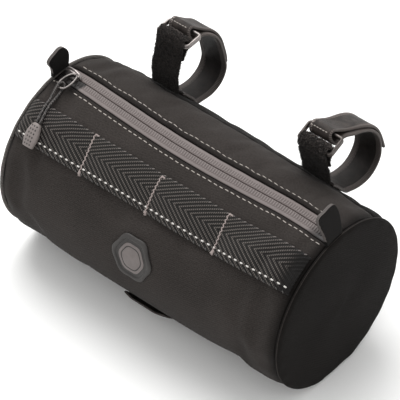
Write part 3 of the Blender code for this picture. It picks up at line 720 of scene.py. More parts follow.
# Painted shade low on the barrel ends at this height.
LOW_SHADE_HEIGHT = 0.065


def hem(distance, stitch):
    """The folded edge: down at the edge itself, a lip, and a groove under the stitches."""
    edge = -0.0011 * np.exp(-((distance / 0.0008) ** 2))
    lip = 0.00045 * np.exp(-(((distance - 0.55 * stitch) / (0.38 * stitch)) ** 2))
    groove = -0.00042 * np.exp(-(((distance - stitch) / 0.0006) ** 2))
    return edge + lip + groove


def seam_dip(distance):
    """Cloth drawn in where two panels meet."""
    return -SEAM_DRAW * np.exp(-np.abs(distance) / 0.0022)


def panel(name, first, last, columns, rows=201, first_hem=0.0, last_hem=0.0):
    """A cloth panel between two edges, each an angle that changes along the barrel.

    A hem is the distance of its stitches from that edge, and 0 means a plain seam. Painted shade
    darkens the cloth at the end seams, along its edges, beside the pull and low on the barrel.
    """
    x = np.linspace(-0.5, 0.5, rows)[:, None] * (BARREL_LENGTH - 0.0002)
    t = np.linspace(0.0, 1.0, columns)[None]
    t = t - 0.5 / columns * np.sin(2.0 * np.pi * t) / np.pi
    degrees = first(x) * (1.0 - t) + last(x) * t
    x = x + 0.0 * t
    relief = 0.0
    # Painted shade where the cloth turns in at the end seams.
    shoulder = np.where(x > 0.0, END_SHADE_RIGHT, END_SHADE_LEFT)
    painted_shade_and_tone = 0.85 * np.exp(-(((0.5 * BARREL_LENGTH - np.abs(x)) / shoulder) ** 1.5))
    for edge, stitch in ((first(x), first_hem), (last(x), last_hem)):
        distance = np.radians(np.abs(degrees - edge)) * BARREL_RADIUS
        relief = relief + (hem(distance, stitch) if stitch else seam_dip(distance))
        # Painted shade under a folded hem, and in the crease along a plain seam.
        folded = np.clip((0.80 * stitch - distance) / 0.0006, 0.0, 1.0)
        painted_shade_and_tone = np.maximum(painted_shade_and_tone, 0.5 * (folded if stitch else np.exp(-distance / 0.0012)))
    # Painted shadow of the zip's pull beside the front hem.
    if first_hem:
        distance = np.radians(degrees - first(x)) * BARREL_RADIUS
        beside_pull = np.clip((PULL_SHADE_X - x) / 0.004, 0.0, 0.80)
        painted_shade_and_tone = np.maximum(painted_shade_and_tone, beside_pull * np.exp(-((distance / 0.0070) ** 2)))
    points = on_cloth(x, degrees, relief)
    # Painted shade low on the barrel.
    low = np.clip(1.0 - points[..., 2] / LOW_SHADE_HEIGHT, 0.0, 1.0)
    painted_shade_and_tone = np.maximum(painted_shade_and_tone, 0.56 * low)
    uv = np.stack([x, np.radians(degrees) * BARREL_RADIUS], axis=-1) / MM
    return mark_painted_shade_and_tone(sheet_mesh(name, points, uv, WALL), painted_shade_and_tone)


front_cloth = panel("front_cloth", lambda x: zip_edge(x, 1), lambda x: 360.0 + SEAM_LOW + 0.0 * x,
                    190, first_hem=FRONT_STITCH)
top_cloth = panel("top_cloth", lambda x: seam_top(x) + 0.1, lambda x: zip_edge(x, -1),
                  44, last_hem=REAR_STITCH)
back_cloth = panel("back_cloth", lambda x: SEAM_LOW + 0.1 + 0.0 * x, seam_top, 96)
finish_piece(front_cloth, charcoal_cloth, "charcoal_fabric", "front_panel")
finish_piece(top_cloth, charcoal_cloth, "charcoal_fabric", "top_panel")
finish_piece(back_cloth, black_cloth, "black_fabric", "back_panel")

# %% [markdown]
# ## The round ends
# Each end is a disc of black cloth sewn in with its edge turned under, so it has a soft
# shoulder behind a thin seam. It is a polar grid: rings of the barrel's own outline that shrink
# towards the middle while they rise, after a profile read from the CAD, plus a few shallow
# waves where the disc is a little too big for its seam.

# %% Left and right ends
END_WALL = 0.0016
# The columns are the inset as a share of the radius and the rise as a share of the dome.
END_PROFILE = np.array((
    (0.030, -0.05),
    (0.016, 0.02),
    (0.004, 0.16),
    (0.002, 0.34),
    (0.014, 0.54),
    (0.050, 0.70),
    (0.150, 0.80),
    (0.300, 0.87),
    (0.620, 0.97),
    (0.999, 1.00),
))


def end_mesh(name, node, side, dome, turned, rim_highlight):
    """Rings of the barrel's outline: inset shrinks them and rise lifts them off the barrel.

    The rings whose rise lies between the two turned values get the paler finish that is passed in,
    a painted highlight along the turned edge.
    """
    knots = path_lengths(END_PROFILE)
    fine = np.concatenate([np.linspace(0.0, 0.6, 26)[:-1], np.linspace(0.6, knots[-1], 30)])
    inset = eased(knots, END_PROFILE[:, 0], fine)[:, None]
    rise = eased(knots, END_PROFILE[:, 1], fine)[:, None]
    degrees = np.linspace(0.0, 360.0, 240, endpoint=False)[None]
    edge = on_barrel(side * 0.5 * BARREL_LENGTH, degrees)
    scale = 1.0 - inset
    ripple = np.sin(np.radians(degrees) * 23.0 + side + 1.5 * np.sin(np.radians(degrees) * 2.0))
    rim = np.exp(-(((inset - 0.03) / 0.05) ** 2))
    lift = 0.00022 * ripple * rim
    waves = 0.00035 * np.sin(np.radians(degrees) * 3.0 + 4.0 * inset) * inset * (1.0 - inset) * 4.0
    x = side * (0.5 * BARREL_LENGTH + 0.0004 + dome * rise + lift * rise + waves)
    y = edge[..., 1] * scale
    z = (edge[..., 2] - AXIS_HEIGHT) * scale + AXIS_HEIGHT
    points = np.stack([x + 0.0 * y, y, z], axis=-1)
    rows, columns = points.shape[:2]
    faces = [group[:, ::side] for group in closed_faces(rows, columns)[::2]]
    flat = points.reshape(-1, 3)
    maps = [flat[group][..., 1:] / MM for group in faces]
    item = make_mesh(name, points, faces, maps, closed=False)
    grow_wall(item, END_WALL)
    finish_piece(item, black_cloth, "black_fabric", node)
    item.data.materials.append(rim_highlight)
    height = 0.5 * (rise[1:, 0] + rise[:-1, 0])
    bound = np.repeat((height > turned[0]) & (height < turned[1]), columns)
    item.data.polygons.foreach_set("material_index", np.append(bound, 0).astype(np.int32))
    return item


# Both ends get a paler band at the turned edge, a painted highlight: the pale cloth on the left,
# the charcoal on the right.
end_mesh("left_end_cloth", "left_end_panel", -1, 0.004, (-0.06, 0.66), painted_highlight_cloth)
end_mesh("right_end_cloth", "right_end_panel", 1, 0.0055, (0.31, 0.39), charcoal_cloth)

# %% [markdown]
# ## Thread
# Thread shows as short dashes that dip into the cloth at both ends. One dash is a fat lens of a
# few dozen faces. A seam is that shape repeated at even steps, laid along the cloth. The thread
# itself is off-white and slightly shiny, with its twist as fine slanted lines.

# %% Thread finishes and a seam of stitches


def thread_material(name, colour, shade):
    """Twisted thread: slanted lines in the colour and the bump."""
    material, tree, shader = start_material(name, colour, 0.55, Sheen_Weight=0.1)
    place = object_place(tree)
    twist = wave(tree, place, 900.0, "DIAGONAL")
    paint(tree, shader, blend_colours(tree, twist, shade, colour))
    bump(tree, shader, twist, 0.0001, 0.5)
    return material


pale_thread = thread_material("pale_thread", (0.50, 0.455, 0.41), (0.24, 0.212, 0.19))
grey_thread = thread_material("grey_thread", (0.36, 0.295, 0.275), (0.17, 0.138, 0.128))
dark_thread = thread_material("dark_thread", (0.045, 0.040, 0.037), (0.015, 0.0135, 0.0125))
web_thread = thread_material("web_thread", (0.150, 0.130, 0.119), (0.060, 0.051, 0.047))


def dash_shape(length, width, height, rows=9, sides=8):
    """A dash of thread: ellipses that shrink to its ends, which sink below the cloth."""
    t = np.linspace(-1.0, 1.0, rows)[:, None]
    turn = np.linspace(0.0, 2.0 * np.pi, sides, endpoint=False)[None]
    swell = (1.0 - 0.97 * np.abs(t) ** 3.2) ** 0.5
    x = 0.5 * length * np.sign(t) * np.abs(t) ** 0.85 + 0.0 * turn
    y = 0.5 * width * swell * np.cos(turn)
    z = 0.5 * height * swell * np.sin(turn) - 0.35 * height * np.abs(t) ** 3
    return np.stack([x, y, z], axis=-1).reshape(-1, 3), closed_faces(rows, sides)


def seam_of_dashes(name, line, pitch, share, width, turned, material, slot):
    """Dashes at even steps along a line on the cloth, given by x, degrees and height."""
    x, degrees, out = line
    lengths = path_lengths(on_cloth(x, degrees, out))
    count = int(lengths[-1] / pitch)
    at = (np.arange(count) + 0.5) * lengths[-1] / count
    x, degrees = np.interp(at, lengths, x), np.interp(at, lengths, degrees)
    out = np.interp(at, lengths, np.broadcast_to(out, lengths.shape))
    along, around, outward = cloth_frame(x, degrees)
    step = 0.3 * pitch
    ahead = along * step + around * turned * step
    shape, faces = dash_shape(share * pitch, width, 0.8 * width)
    item = repeated(name, shape, faces, on_cloth(x, degrees, out), ahead, outward)
    print(name, count, "dashes")
    return finish_piece(item, material, slot)


def dash_line(name, points, outward, pitch, share, width):
    """Dashes at even steps along any line of points, each with its own outward direction."""
    lengths = path_lengths(points)
    count = int(lengths[-1] / pitch)
    at = (np.arange(count) + 0.5) * lengths[-1] / count
    ahead = np.gradient(points, lengths, axis=0)
    line = [np.stack([np.interp(at, lengths, part[:, axis]) for axis in range(3)], axis=1)
            for part in (points, ahead, outward)]
    shape, faces = dash_shape(share * pitch, width, 0.8 * width)
    return repeated(name, shape, faces, *line)


STITCH_HEIGHT = -0.00010
STITCH_SHARE = 0.78
# The columns are the first and last x, the points between them, the side of the zip, the
# distance from the cloth's edge, the pitch, the thread's width and its slant.
ZIP_SEAMS = {
    "rear_zip_stitches": (-0.1175, 0.1210, 400, -1, REAR_STITCH, 0.00490, 0.00060, 0.10),
    "front_zip_stitches": (-0.1045, 0.1215, 400, 1, FRONT_STITCH, 0.00485, 0.00070, 0.06),
    "zip_end_stitches": (-0.1250, -0.1180, 20, 1, FRONT_STITCH, 0.00340, 0.00070, 0.06),
}
for name, (first, last, count, side, inset, pitch, width, slant) in ZIP_SEAMS.items():
    x = np.linspace(first, last, count)
    line = (x, zip_edge(x, side) + side * arc(inset), STITCH_HEIGHT)
    seam_of_dashes(name, line, pitch, STITCH_SHARE, width, slant, pale_thread, "charcoal_fabric")

# %% [markdown]
# ## The zip
# The bag has a reverse-coil zip with a laminated tape: the teeth are on the inside, and they
# show through the grey film as two rows of ribs, two millimetres apart, on either side of a
# fine dark line where the halves meet. Each half is a fine grid whose height follows the ribs.

# %% Zip tapes with their ribs
RIB_PITCH = 0.0020
TAPE_DEPTH = 0.0008
TAPE_TUCK = 0.003
TAPE_WALL = 0.0009
# Painted shade darkens the film to the right of the first place, by the tab, and to the left of the
# second, round the slider.
TAB_SHADE_X, SLIDER_SHADE_X = 0.1075, -0.0992


def zip_film():
    """Grey laminated film: satin, a little uneven, with a faint grain. Its ribs get a painted
    highlight on their crests and painted shade between them.
    """
    material, tree, shader = start_material("zip_film", (0.10, 0.083, 0.079), 0.48,
                                            Specular_IOR_Level=0.24)
    uv = cloth_uv(tree)
    grain = noise(tree, uv, 1.4, 6.0)
    wide = noise(tree, uv, 0.08, 2.0)
    shade = plus(tree, times(tree, grain, 0.5), times(tree, wide, 0.5))
    colour = blend_colours(tree, shade, (0.080, 0.0645, 0.0610), (0.165, 0.137, 0.131))
    parts = put(tree, "SeparateXYZ", {0: uv})
    width = maths(tree, "ABSOLUTE", parts.outputs[1])
    inside = times(tree, maths(tree, "LESS_THAN", width, 4.7),
                   maths(tree, "GREATER_THAN", width, 0.9))
    slant = maths(tree, "SUBTRACT", parts.outputs[0], times(tree, parts.outputs[1], 0.10))
    painted_rib_highlight = maths(tree, "COSINE", times(tree, slant, 2.0 * math.pi * MM / RIB_PITCH))
    painted_rib_highlight = times(tree, maths(tree, "MULTIPLY_ADD", painted_rib_highlight, 0.5, 0.5), inside)
    # Painted highlight on the rib crests, and painted shade between the ribs.
    tinted = blend_colours(tree, times(tree, painted_rib_highlight, 0.55), colour, (0.21, 0.182, 0.176))
    between = times(tree, maths(tree, "SUBTRACT", inside, painted_rib_highlight), 0.42)
    tinted = blend_colours(tree, between, tinted, (0.040, 0.032, 0.030))
    paint(tree, shader, with_painted_shade_and_tone(tree, tinted))
    rough = plus(tree, times(tree, grain, 0.25), 0.33)
    tree.links.new(rough, shader.inputs["Roughness"])
    bump(tree, shader, grain, 0.00012, 0.5)
    return material


def tape_half(name, side):
    """One half: width runs from the middle line outwards, and ribs stand 0.8 to 4.8 mm from it.

    Painted shade darkens the film under the hem, next to the right tab and round the slider.
    """
    x = np.linspace(-0.5, 0.5, 1001)[:, None] * BARREL_LENGTH
    ribbed, plain = np.linspace(0.00015, 0.0056, 19), np.linspace(0.0060, ZIP_HALF + TAPE_TUCK, 14)
    width = np.concatenate([ribbed, plain])[None]
    inside = np.clip((width - 0.0006) / 0.0005, 0.0, 1.0)
    inside = inside * np.clip((0.0051 - width) / 0.0006, 0.0, 1.0)
    phase = 2.0 * np.pi * (x - 0.10 * side * width) / RIB_PITCH
    ribs = 0.00045 * inside * (0.5 + 0.5 * np.cos(phase)) ** 1.4
    crown = 0.0005 * np.exp(-((width / 0.0055) ** 2)) - 0.0005 * np.exp(-((width / 0.00035) ** 2))
    crown = crown - 0.0020 * np.clip((width - 0.0071) / 0.0012, 0.0, 1.0) ** 2
    degrees = section(ZIP, x) + side * arc(width)
    points = on_cloth(x + 0.0 * width, degrees, ribs + crown - TAPE_DEPTH)
    uv = np.stack([x + 0.0 * width, side * width + 0.0 * x], axis=-1) / MM
    # Painted shade by the tab, under the hem and round the slider.
    by_tab = np.clip((x - TAB_SHADE_X + 0.5 * side * width) / 0.011, 0.0, 0.93)
    painted_shade_and_tone = np.maximum(np.clip((width - 0.0072) / 0.0005, 0.0, 1.0), by_tab)
    if side > 0:
        by_slider = np.clip((SLIDER_SHADE_X - 0.4 * width - x) / 0.0020, 0.0, 0.95)
        painted_shade_and_tone = np.maximum(painted_shade_and_tone, by_slider)
    if side < 0:
        points, uv, painted_shade_and_tone = points[:, ::-1], uv[:, ::-1], painted_shade_and_tone[:, ::-1]
    return mark_painted_shade_and_tone(sheet_mesh(name, points, uv, TAPE_WALL), painted_shade_and_tone)


film = zip_film()
finish_piece(tape_half("front_zip_half", 1), film, "zip_tape", "zip_tape_front")
finish_piece(tape_half("rear_zip_half", -1), film, "zip_tape", "zip_tape_rear")

# %% [markdown]
# ## The webbing row
# A wide herringbone webbing runs along the front, tacked down so that it makes bays for clips
# and lights. Between the tacks it arches off the cloth. Its pattern is chevrons with their
# points on one line: ribs that rise about 30 degrees either side of it, 5.1 mm apart. The ribs
# are real relief here, and the shader adds the light picks that cross them.

# %% Webbing with chevrons
WEBBING_THICKNESS = 0.0015
WEBBING_WALL = 0.0013
WEBBING_UPPER = -0.0134
WEBBING_LOWER = 0.0156
BAY_RISE = 0.0020
SEAM_GAP = 0.0003
TACKS = (0.004, 0.242, 0.486, 0.726, 0.985)
TACK_SLANT = 0.17
CHEVRON_PITCH = 0.0051
CHEVRON_SLOPE = 1.73
PICK_PITCH_MM = 1.275
# Painted shade darkens the webbing from the first place to the second, where it goes into the right
# seam.
WEBBING_SHADE = (0.1085, 0.1180)


def webbing_degrees(x, across):
    """The angle at a distance across the webbing from its points, which drift up at the right."""
    return 127.0 - 2.0 * smooth_step((x - 0.045) / 0.075) + arc(across)


def tack_x(number, across):
    """Where a tack crosses the webbing: the outer ones are straight and the others slant."""
    slant = TACK_SLANT if 0 < number < len(TACKS) - 1 else 0.0
    return (TACKS[number] - 0.5) * BARREL_LENGTH + slant * across


def webbing_lift(x, across):
    """The arch of each bay: a sine from tack to tack, raised to a power to flatten its top."""
    lift = np.zeros(np.broadcast(x, across).shape)
    for number in range(len(TACKS) - 1):
        start, end = tack_x(number, across), tack_x(number + 1, across)
        t = np.clip((x - start) / (end - start), 0.0, 1.0)
        lift = np.maximum(lift, np.sin(np.pi * t) ** 0.8)
    return SEAM_GAP + BAY_RISE * lift


def webbing_material():
    """Black webbing with light picks along each chevron, made from the UV's distances."""
    material, tree, shader = start_material("herringbone_webbing", (0.030, 0.026, 0.024), 0.78,
                                            Specular_IOR_Level=0.2, Sheen_Weight=0.04)
    uv = put(tree, "SeparateXYZ", {0: cloth_uv(tree)})
    along, across = uv.outputs[0], maths(tree, "ABSOLUTE", uv.outputs[1])
    row = maths(tree, "SUBTRACT", along, times(tree, across, CHEVRON_SLOPE))
    row = maths(tree, "DIVIDE", row, CHEVRON_PITCH / MM)
    ridge = maths(tree, "ABSOLUTE", maths(tree, "SUBTRACT", maths(tree, "FRACT", row), 0.5))
    line = clamped(times(tree, maths(tree, "SUBTRACT", ridge, 0.22), 6.0))
    picks = maths(tree, "SINE", times(tree, along, 2.0 * math.pi / PICK_PITCH_MM))
    picks = clamped(times(tree, plus(tree, picks, 0.25), 2.2))
    fuzz = noise(tree, cloth_uv(tree), 2.0, 4.0)
    light = times(tree, line, plus(tree, times(tree, picks, 0.92), 0.08))
    light = clamped(times(tree, light, plus(tree, times(tree, fuzz, 1.2), 0.3)))
    colour = blend_colours(tree, light, (0.0065, 0.0056, 0.0050), (0.125, 0.110, 0.099))
    paint(tree, shader, with_painted_shade_and_tone(tree, colour))
    bump(tree, shader, plus(tree, light, times(tree, picks, 0.5)), 0.0002, 0.8)
    return material


herringbone = webbing_material()
web_x = np.linspace(-0.1240, 0.1232, 620)[:, None]
web_across = np.linspace(WEBBING_UPPER, WEBBING_LOWER, 62)[None]
chevron = (web_x - CHEVRON_SLOPE * np.abs(web_across)) / CHEVRON_PITCH
chevron_relief = 0.00016 * np.cos(2.0 * np.pi * chevron)
web_edge = np.minimum(web_across - WEBBING_UPPER, WEBBING_LOWER - web_across)
web_round = -0.0005 * np.exp(-web_edge / 0.0006)
web_out = webbing_lift(web_x, web_across) + WEBBING_THICKNESS + chevron_relief + web_round
web_points = on_cloth(web_x + 0.0 * web_across, webbing_degrees(web_x, web_across), web_out)
web_uv = np.stack([web_x + 0.0 * web_across, web_across + 0.0 * web_x], axis=-1) / MM
webbing = sheet_mesh("herringbone_row", web_points, web_uv, WEBBING_WALL)
# Painted shade where the webbing goes into the right seam.
web_shade = (web_x - WEBBING_SHADE[0]) / (WEBBING_SHADE[1] - WEBBING_SHADE[0])
mark_painted_shade_and_tone(webbing, smooth_step(web_shade) + 0.0 * web_across)
finish_piece(webbing, herringbone, "webbing", "daisy_webbing")

# %% [markdown]
# ## Threads on the webbing
# A row of bright dashes runs along the webbing's lower side, lighter loops show along its upper
# edge, and each tack is a zigzag of pinkish-grey thread with a short bar at its top and a knot
# at its foot. The zigzag is a tube along a path that swings from side to side.

# %% Dashes, edge loops and tacks


def web_line(across, out, first=-0.1225, last=0.1215):
    """A line along the webbing at one distance across it: x, degrees and height off the cloth."""
    x = np.linspace(first, last, 500)
    return x, webbing_degrees(x, across), webbing_lift(x, across) + WEBBING_THICKNESS + out


def bright_thread_material():
    """Reflective off-white yarn."""
    material, tree, shader = start_material("bright_thread", (0.60, 0.58, 0.55), 0.5)
    place = object_place(tree)
    twist = wave(tree, place, 700.0, "DIAGONAL")
    colour = blend_colours(tree, twist, (0.44, 0.42, 0.395), (0.68, 0.655, 0.62))
    paint(tree, shader, colour)
    bump(tree, shader, twist, 0.0001, 0.5)
    return material


bright_thread = bright_thread_material()
# The columns are the distance across the webbing, the height, the thread's width, its slant and
# its finish.
WEB_ROWS = {
    "webbing_bright_dashes": (0.0116, 0.0001, 0.00118, 0.0, bright_thread),
    "webbing_edge_loops": (WEBBING_UPPER + 0.0005, -0.0001, 0.0009, -0.5, web_thread),
    "webbing_low_loops": (WEBBING_LOWER - 0.0005, -0.0002, 0.0009, 0.5, dark_thread),
}
for name, (across, height, width, slant, thread) in WEB_ROWS.items():
    line = web_line(across, height)
    seam_of_dashes(name, line, CHEVRON_PITCH, 0.50, width, slant, thread, "webbing")

TACK_RADIUS = 0.00049
# The columns are x and degrees at the top of the tack, then at its foot.
TACK_ENDS = (
    (-0.0670, 115.2, -0.0612, 139.2),
    (-0.0049, 117.0, -0.0018, 139.4),
    (0.0543, 115.6, 0.0588, 138.6),
)
TACK_UP = np.array([0.3, 0.7, -0.64])


def tack_path(top_x, top_degrees, foot_x, foot_degrees):
    """A bar across the top, a zigzag down the webbing, and a few turns on one spot at the foot."""
    t = np.linspace(0.0, 1.0, 86)
    swing = 0.00055 * (2.0 / np.pi) * np.arcsin(np.sin(2.0 * np.pi * 9.0 * t))
    x = top_x + (foot_x - top_x) * t + swing
    degrees = top_degrees + (foot_degrees - top_degrees) * t
    bar = np.linspace(0.0, 1.0, 14)
    bar_x = top_x + 0.0032 * (1.0 - bar) + 0.0002
    bar_degrees = top_degrees + arc(0.0005 * np.sin(2.0 * np.pi * 3.0 * bar))
    knot = np.linspace(0.0, 1.0, 30)
    knot_x = foot_x + 0.0010 * np.sin(2.0 * np.pi * 4.0 * knot)
    knot_degrees = foot_degrees + arc(0.0030 * knot)
    x = np.concatenate([bar_x, x, knot_x])
    degrees = np.concatenate([bar_degrees, degrees, knot_degrees])
    across = np.radians(degrees - webbing_degrees(x, 0.0)) * BARREL_RADIUS
    out = webbing_lift(x, np.clip(across, WEBBING_UPPER, WEBBING_LOWER)) + WEBBING_THICKNESS
    beyond = np.clip(np.maximum(WEBBING_UPPER - across, across - WEBBING_LOWER) / 0.0006, 0.0, 1.0)
    return on_cloth(x, degrees, out * (1.0 - beyond) + 0.0003 * beyond + 0.00012)


for number, ends in enumerate(TACK_ENDS, start=1):
    tack = tube_mesh(f"webbing_tack_{number}", tack_path(*ends), TACK_RADIUS, 7, TACK_UP)
    finish_piece(tack, grey_thread, "webbing")

# %% [markdown]
# ## The badge and the low loop
# The front carries a moulded rubber patch. Its mark is the maker's, so a bare painted plate
# stands in its place, inside the same kind of raised rim. Under it, near the bottom, a short
# loop of webbing is sewn down at both ends, for a second strap.

# %% Rubber badge


def rubber_material(name, colour, pale, rough):
    """Moulded rubber with a fine grain, a little pale dust, and painted shade in its hollows."""
    material, tree, shader = start_material(name, colour, rough)
    place = object_place(tree)
    grain = noise(tree, place, 1400.0, 3.0)
    dust = noise(tree, place, 180.0, 5.0)
    paint(tree, shader, with_painted_shade_and_tone(tree, blend_colours(tree, dust, colour, pale)))
    bump(tree, shader, grain, 0.00008, 0.6)
    return material


badge_rubber = rubber_material("badge_rubber", (0.012, 0.0102, 0.0092),
                               (0.032, 0.0282, 0.0255), 0.6)
badge_paint = rubber_material("badge_paint", (0.085, 0.070, 0.066), (0.145, 0.122, 0.116), 0.5)
BADGE_DEGREES = 170.0
BADGE_RADIUS = 0.0170
# The columns are the share of the radius and the height in millimetres, from the middle out.
BADGE_PROFILE = np.array((
    (0.00, 1.62), (0.20, 1.62), (0.40, 1.60), (0.47, 1.58), (0.49, 1.30), (0.515, 1.30),
    (0.53, 1.58), (0.60, 1.62), (0.64, 1.55), (0.665, 1.10), (0.70, 1.02), (0.76, 1.02),
    (0.79, 1.20), (0.82, 1.95), (0.86, 2.20), (0.92, 2.12), (0.97, 1.75), (1.00, 1.20),
    (1.00, 0.35), (0.90, 0.30), (0.02, 0.30),
))


def badge_grid(profile, sides=96):
    """Rings of six soft corners, wrapped on the cloth: the profile gives their size and height."""
    reach = np.maximum(profile[:, :1], 0.004)
    turn = np.linspace(0.0, 2.0 * np.pi, sides, endpoint=False)[None]
    radius = BADGE_RADIUS * reach * (1.0 + 0.05 * reach * np.cos(6.0 * turn))
    x = radius * np.cos(turn)
    degrees = BADGE_DEGREES + arc(radius * np.sin(turn))
    uv = np.stack([x, radius * np.sin(turn)], axis=-1) / MM
    return on_cloth(x, degrees, profile[:, 1:] * MM + 0.0 * turn), uv


def badge_mesh():
    """The badge as one closed shell, its plate in the paler paint."""
    even, knots = np.linspace(0, 1, 90), np.linspace(0, 1, len(BADGE_PROFILE))
    dense = np.column_stack([np.interp(even, knots, column) for column in BADGE_PROFILE.T])
    points, uv = badge_grid(dense)
    uv = np.concatenate([uv, uv[:, :1]], axis=1)
    item = loop_mesh("rubber_badge", points, uv)
    finish_piece(item, badge_rubber, "rubber", "badge")
    item.data.materials.append(badge_paint)
    reach = np.repeat(0.5 * (dense[1:, 0] + dense[:-1, 0]), points.shape[1])
    height = np.repeat(0.5 * (dense[1:, 1] + dense[:-1, 1]), points.shape[1])
    painted = (height > 1.45) & (reach < 0.68)
    numbers = np.zeros(len(item.data.polygons), dtype=np.int32)
    numbers[: len(painted)] = painted
    item.data.polygons.foreach_set("material_index", numbers)
    return item


badge_mesh()

# %% Low webbing loop
LOW_LOOP_DEGREES = 226.0
LOW_LOOP_HALF = 0.0185
LOW_LOOP_HALF_WIDTH = 0.011


def ribbed_webbing(name, dark, light, pitch):
    """Plain black webbing with ribs across its length."""
    material, tree, shader = start_material(name, light, 0.8, Specular_IOR_Level=0.12,
                                            Sheen_Weight=0.01)
    uv = cloth_uv(tree)
    scale = WAVE_PITCH / pitch
    ribs = wave(tree, uv, scale, "X", 0.4)
    cross = wave(tree, uv, 1.4 * scale, "Y")
    weave = times(tree, ribs, plus(tree, times(tree, cross, 0.5), 0.5))
    paint(tree, shader, blend_colours(tree, weave, dark, light))
    bump(tree, shader, weave, 0.0003, 0.8)
    return material


plain_webbing = ribbed_webbing("plain_webbing", (0.0025, 0.0021, 0.0019),
                               (0.0095, 0.0080, 0.0072), 0.9)
# A much paler copy of the black webbing for the low loop, which lies in deep shade: painted light.
painted_light_keeper_webbing = ribbed_webbing("painted_light_keeper_webbing", (0.022, 0.0185, 0.0170),
                                (0.095, 0.081, 0.074), 0.9)
low_x = np.linspace(-LOW_LOOP_HALF, LOW_LOOP_HALF, 90)[:, None]
low_across = np.linspace(-LOW_LOOP_HALF_WIDTH, LOW_LOOP_HALF_WIDTH, 30)[None]
low_rise = np.clip(2.4 * (1.0 - np.abs(low_x) / LOW_LOOP_HALF), 0.0, 1.0) ** 0.7
low_out = SEAM_GAP + 0.0020 * low_rise + 0.0014 + 0.0 * low_across
low_degrees = LOW_LOOP_DEGREES + arc(low_across) + 0.0 * low_x
low_points = on_cloth(low_x + 0.0 * low_across, low_degrees, low_out)
low_uv = np.stack([low_x + 0.0 * low_across, low_across + 0.0 * low_x], axis=-1) / MM
low_loop = sheet_mesh("low_keeper_loop", low_points, low_uv, WEBBING_WALL)
finish_piece(low_loop, painted_light_keeper_webbing, "webbing", "bottom_loop")

# %% [markdown]
# ## The slider and its wire loop
# The slider is a small cast body with rounded shoulders, wide at the front and narrow at the
# back, with a curved rail over it that holds the wire loop. It is a stack of rounded outlines,
# each a superellipse, and the rail is a bent tube.

# %% Slider, rail and wire loop


def metal_material(name, dark, light, rough):
    """Worn metal: noise makes its shade and its gloss uneven."""
    material, tree, shader = start_material(name, light, rough, Metallic=0.85)
    place = object_place(tree)
    wear = noise(tree, place, 260.0, 6.0)
    paint(tree, shader, with_painted_shade_and_tone(tree, blend_colours(tree, wear, dark, light)))
    gloss = plus(tree, times(tree, wear, 0.3), rough - 0.12)
    tree.links.new(gloss, shader.inputs["Roughness"])
    bump(tree, shader, wear, 0.00006, 0.5)
    return material


slider_metal = metal_material("slider_metal", (0.20, 0.178, 0.172), (0.50, 0.455, 0.44), 0.38)
wire_metal = metal_material("wire_metal", (0.07, 0.063, 0.060), (0.33, 0.303, 0.290), 0.36)
SLIDER_LENGTH = 0.0155
SLIDER_WIDTH = 0.0092
SLIDER_SEAT = 0.0021
# The columns are the share of the outline and the height in millimetres.
SLIDER_LEVELS = np.array((
    (0.80, 0.0), (0.94, 0.25), (1.0, 0.8), (1.0, 2.0), (0.95, 2.6), (0.84, 2.95), (0.6, 3.05),
    (0.02, 3.1),
))
RAIL_RADIUS = 0.00095
RAIL_ROUTE = (
    (-0.0072, -0.0030, 0.0024), (-0.0056, -0.0028, 0.0040), (-0.0010, -0.0020, 0.0054),
    (0.0034, -0.0012, 0.0058), (0.0070, -0.0006, 0.0046), (0.0080, -0.0004, 0.0024),
)
BAIL_LENGTH, BAIL_HALF_WIDTH, BAIL_WIRE = 0.0155, 0.0042, 0.0015
# The slider's top stands this far off the barrel, and the wire loop starts clear of it.
SLIDER_TOP, BAIL_CLEARANCE = 0.0006, 0.0004
# The loop is drawn a little thicker than the CAD's wire.
BAIL_DRAWN_RADIUS = 0.00078


def on_slider(along, across, up):
    """A point in the slider's own frame: along the zip, across it to the front, and up."""
    x = slider_x()
    degrees = float(section(ZIP, x))
    angle = math.radians(degrees)
    base = on_barrel(x, degrees, -SLIDER_SEAT)[0]
    along, across, up = np.broadcast_arrays(along, across, up)
    y = base[1] - across * math.sin(angle) + up * math.cos(angle)
    z = base[2] + across * math.cos(angle) + up * math.sin(angle)
    return np.stack([base[0] + along, y, z], axis=-1)


def slider_body():
    """Rounded outlines stacked up: each is a superellipse that narrows towards the back."""
    turn = np.linspace(0.0, 2.0 * np.pi, 48, endpoint=False)[None]
    size, up = SLIDER_LEVELS[:, :1], SLIDER_LEVELS[:, 1:] * MM
    cosine, sine = np.cos(turn), np.sin(turn)
    along = 0.5 * SLIDER_LENGTH * size * np.sign(cosine) * np.abs(cosine) ** 0.62
    taper = 0.85 + 0.15 * np.clip(along / (0.5 * SLIDER_LENGTH), -1.0, 1.0)
    across = 0.5 * SLIDER_WIDTH * size * taper * np.sign(sine) * np.abs(sine) ** 0.62
    points = on_slider(along, across, up)
    uv = np.stack([along, across], axis=-1) / MM
    item = loop_mesh("slider_body", points, np.concatenate([uv, uv[:, :1]], axis=1))
    # The slider's front part, under the wire loop, is darker than its rear.
    return mark_painted_shade_and_tone(item, np.clip((across + 0.0012) / 0.0010, 0.0, 0.93))


finish_piece(slider_body(), slider_metal, "slider_metal", "zip_slider")
rail_path = on_slider(*smooth_path(RAIL_ROUTE, 40).T)
rail = tube_mesh("slider_rail", rail_path, RAIL_RADIUS, 12, np.array([0.0, 1.0, 0.02]))
finish_piece(rail, slider_metal, "slider_metal")


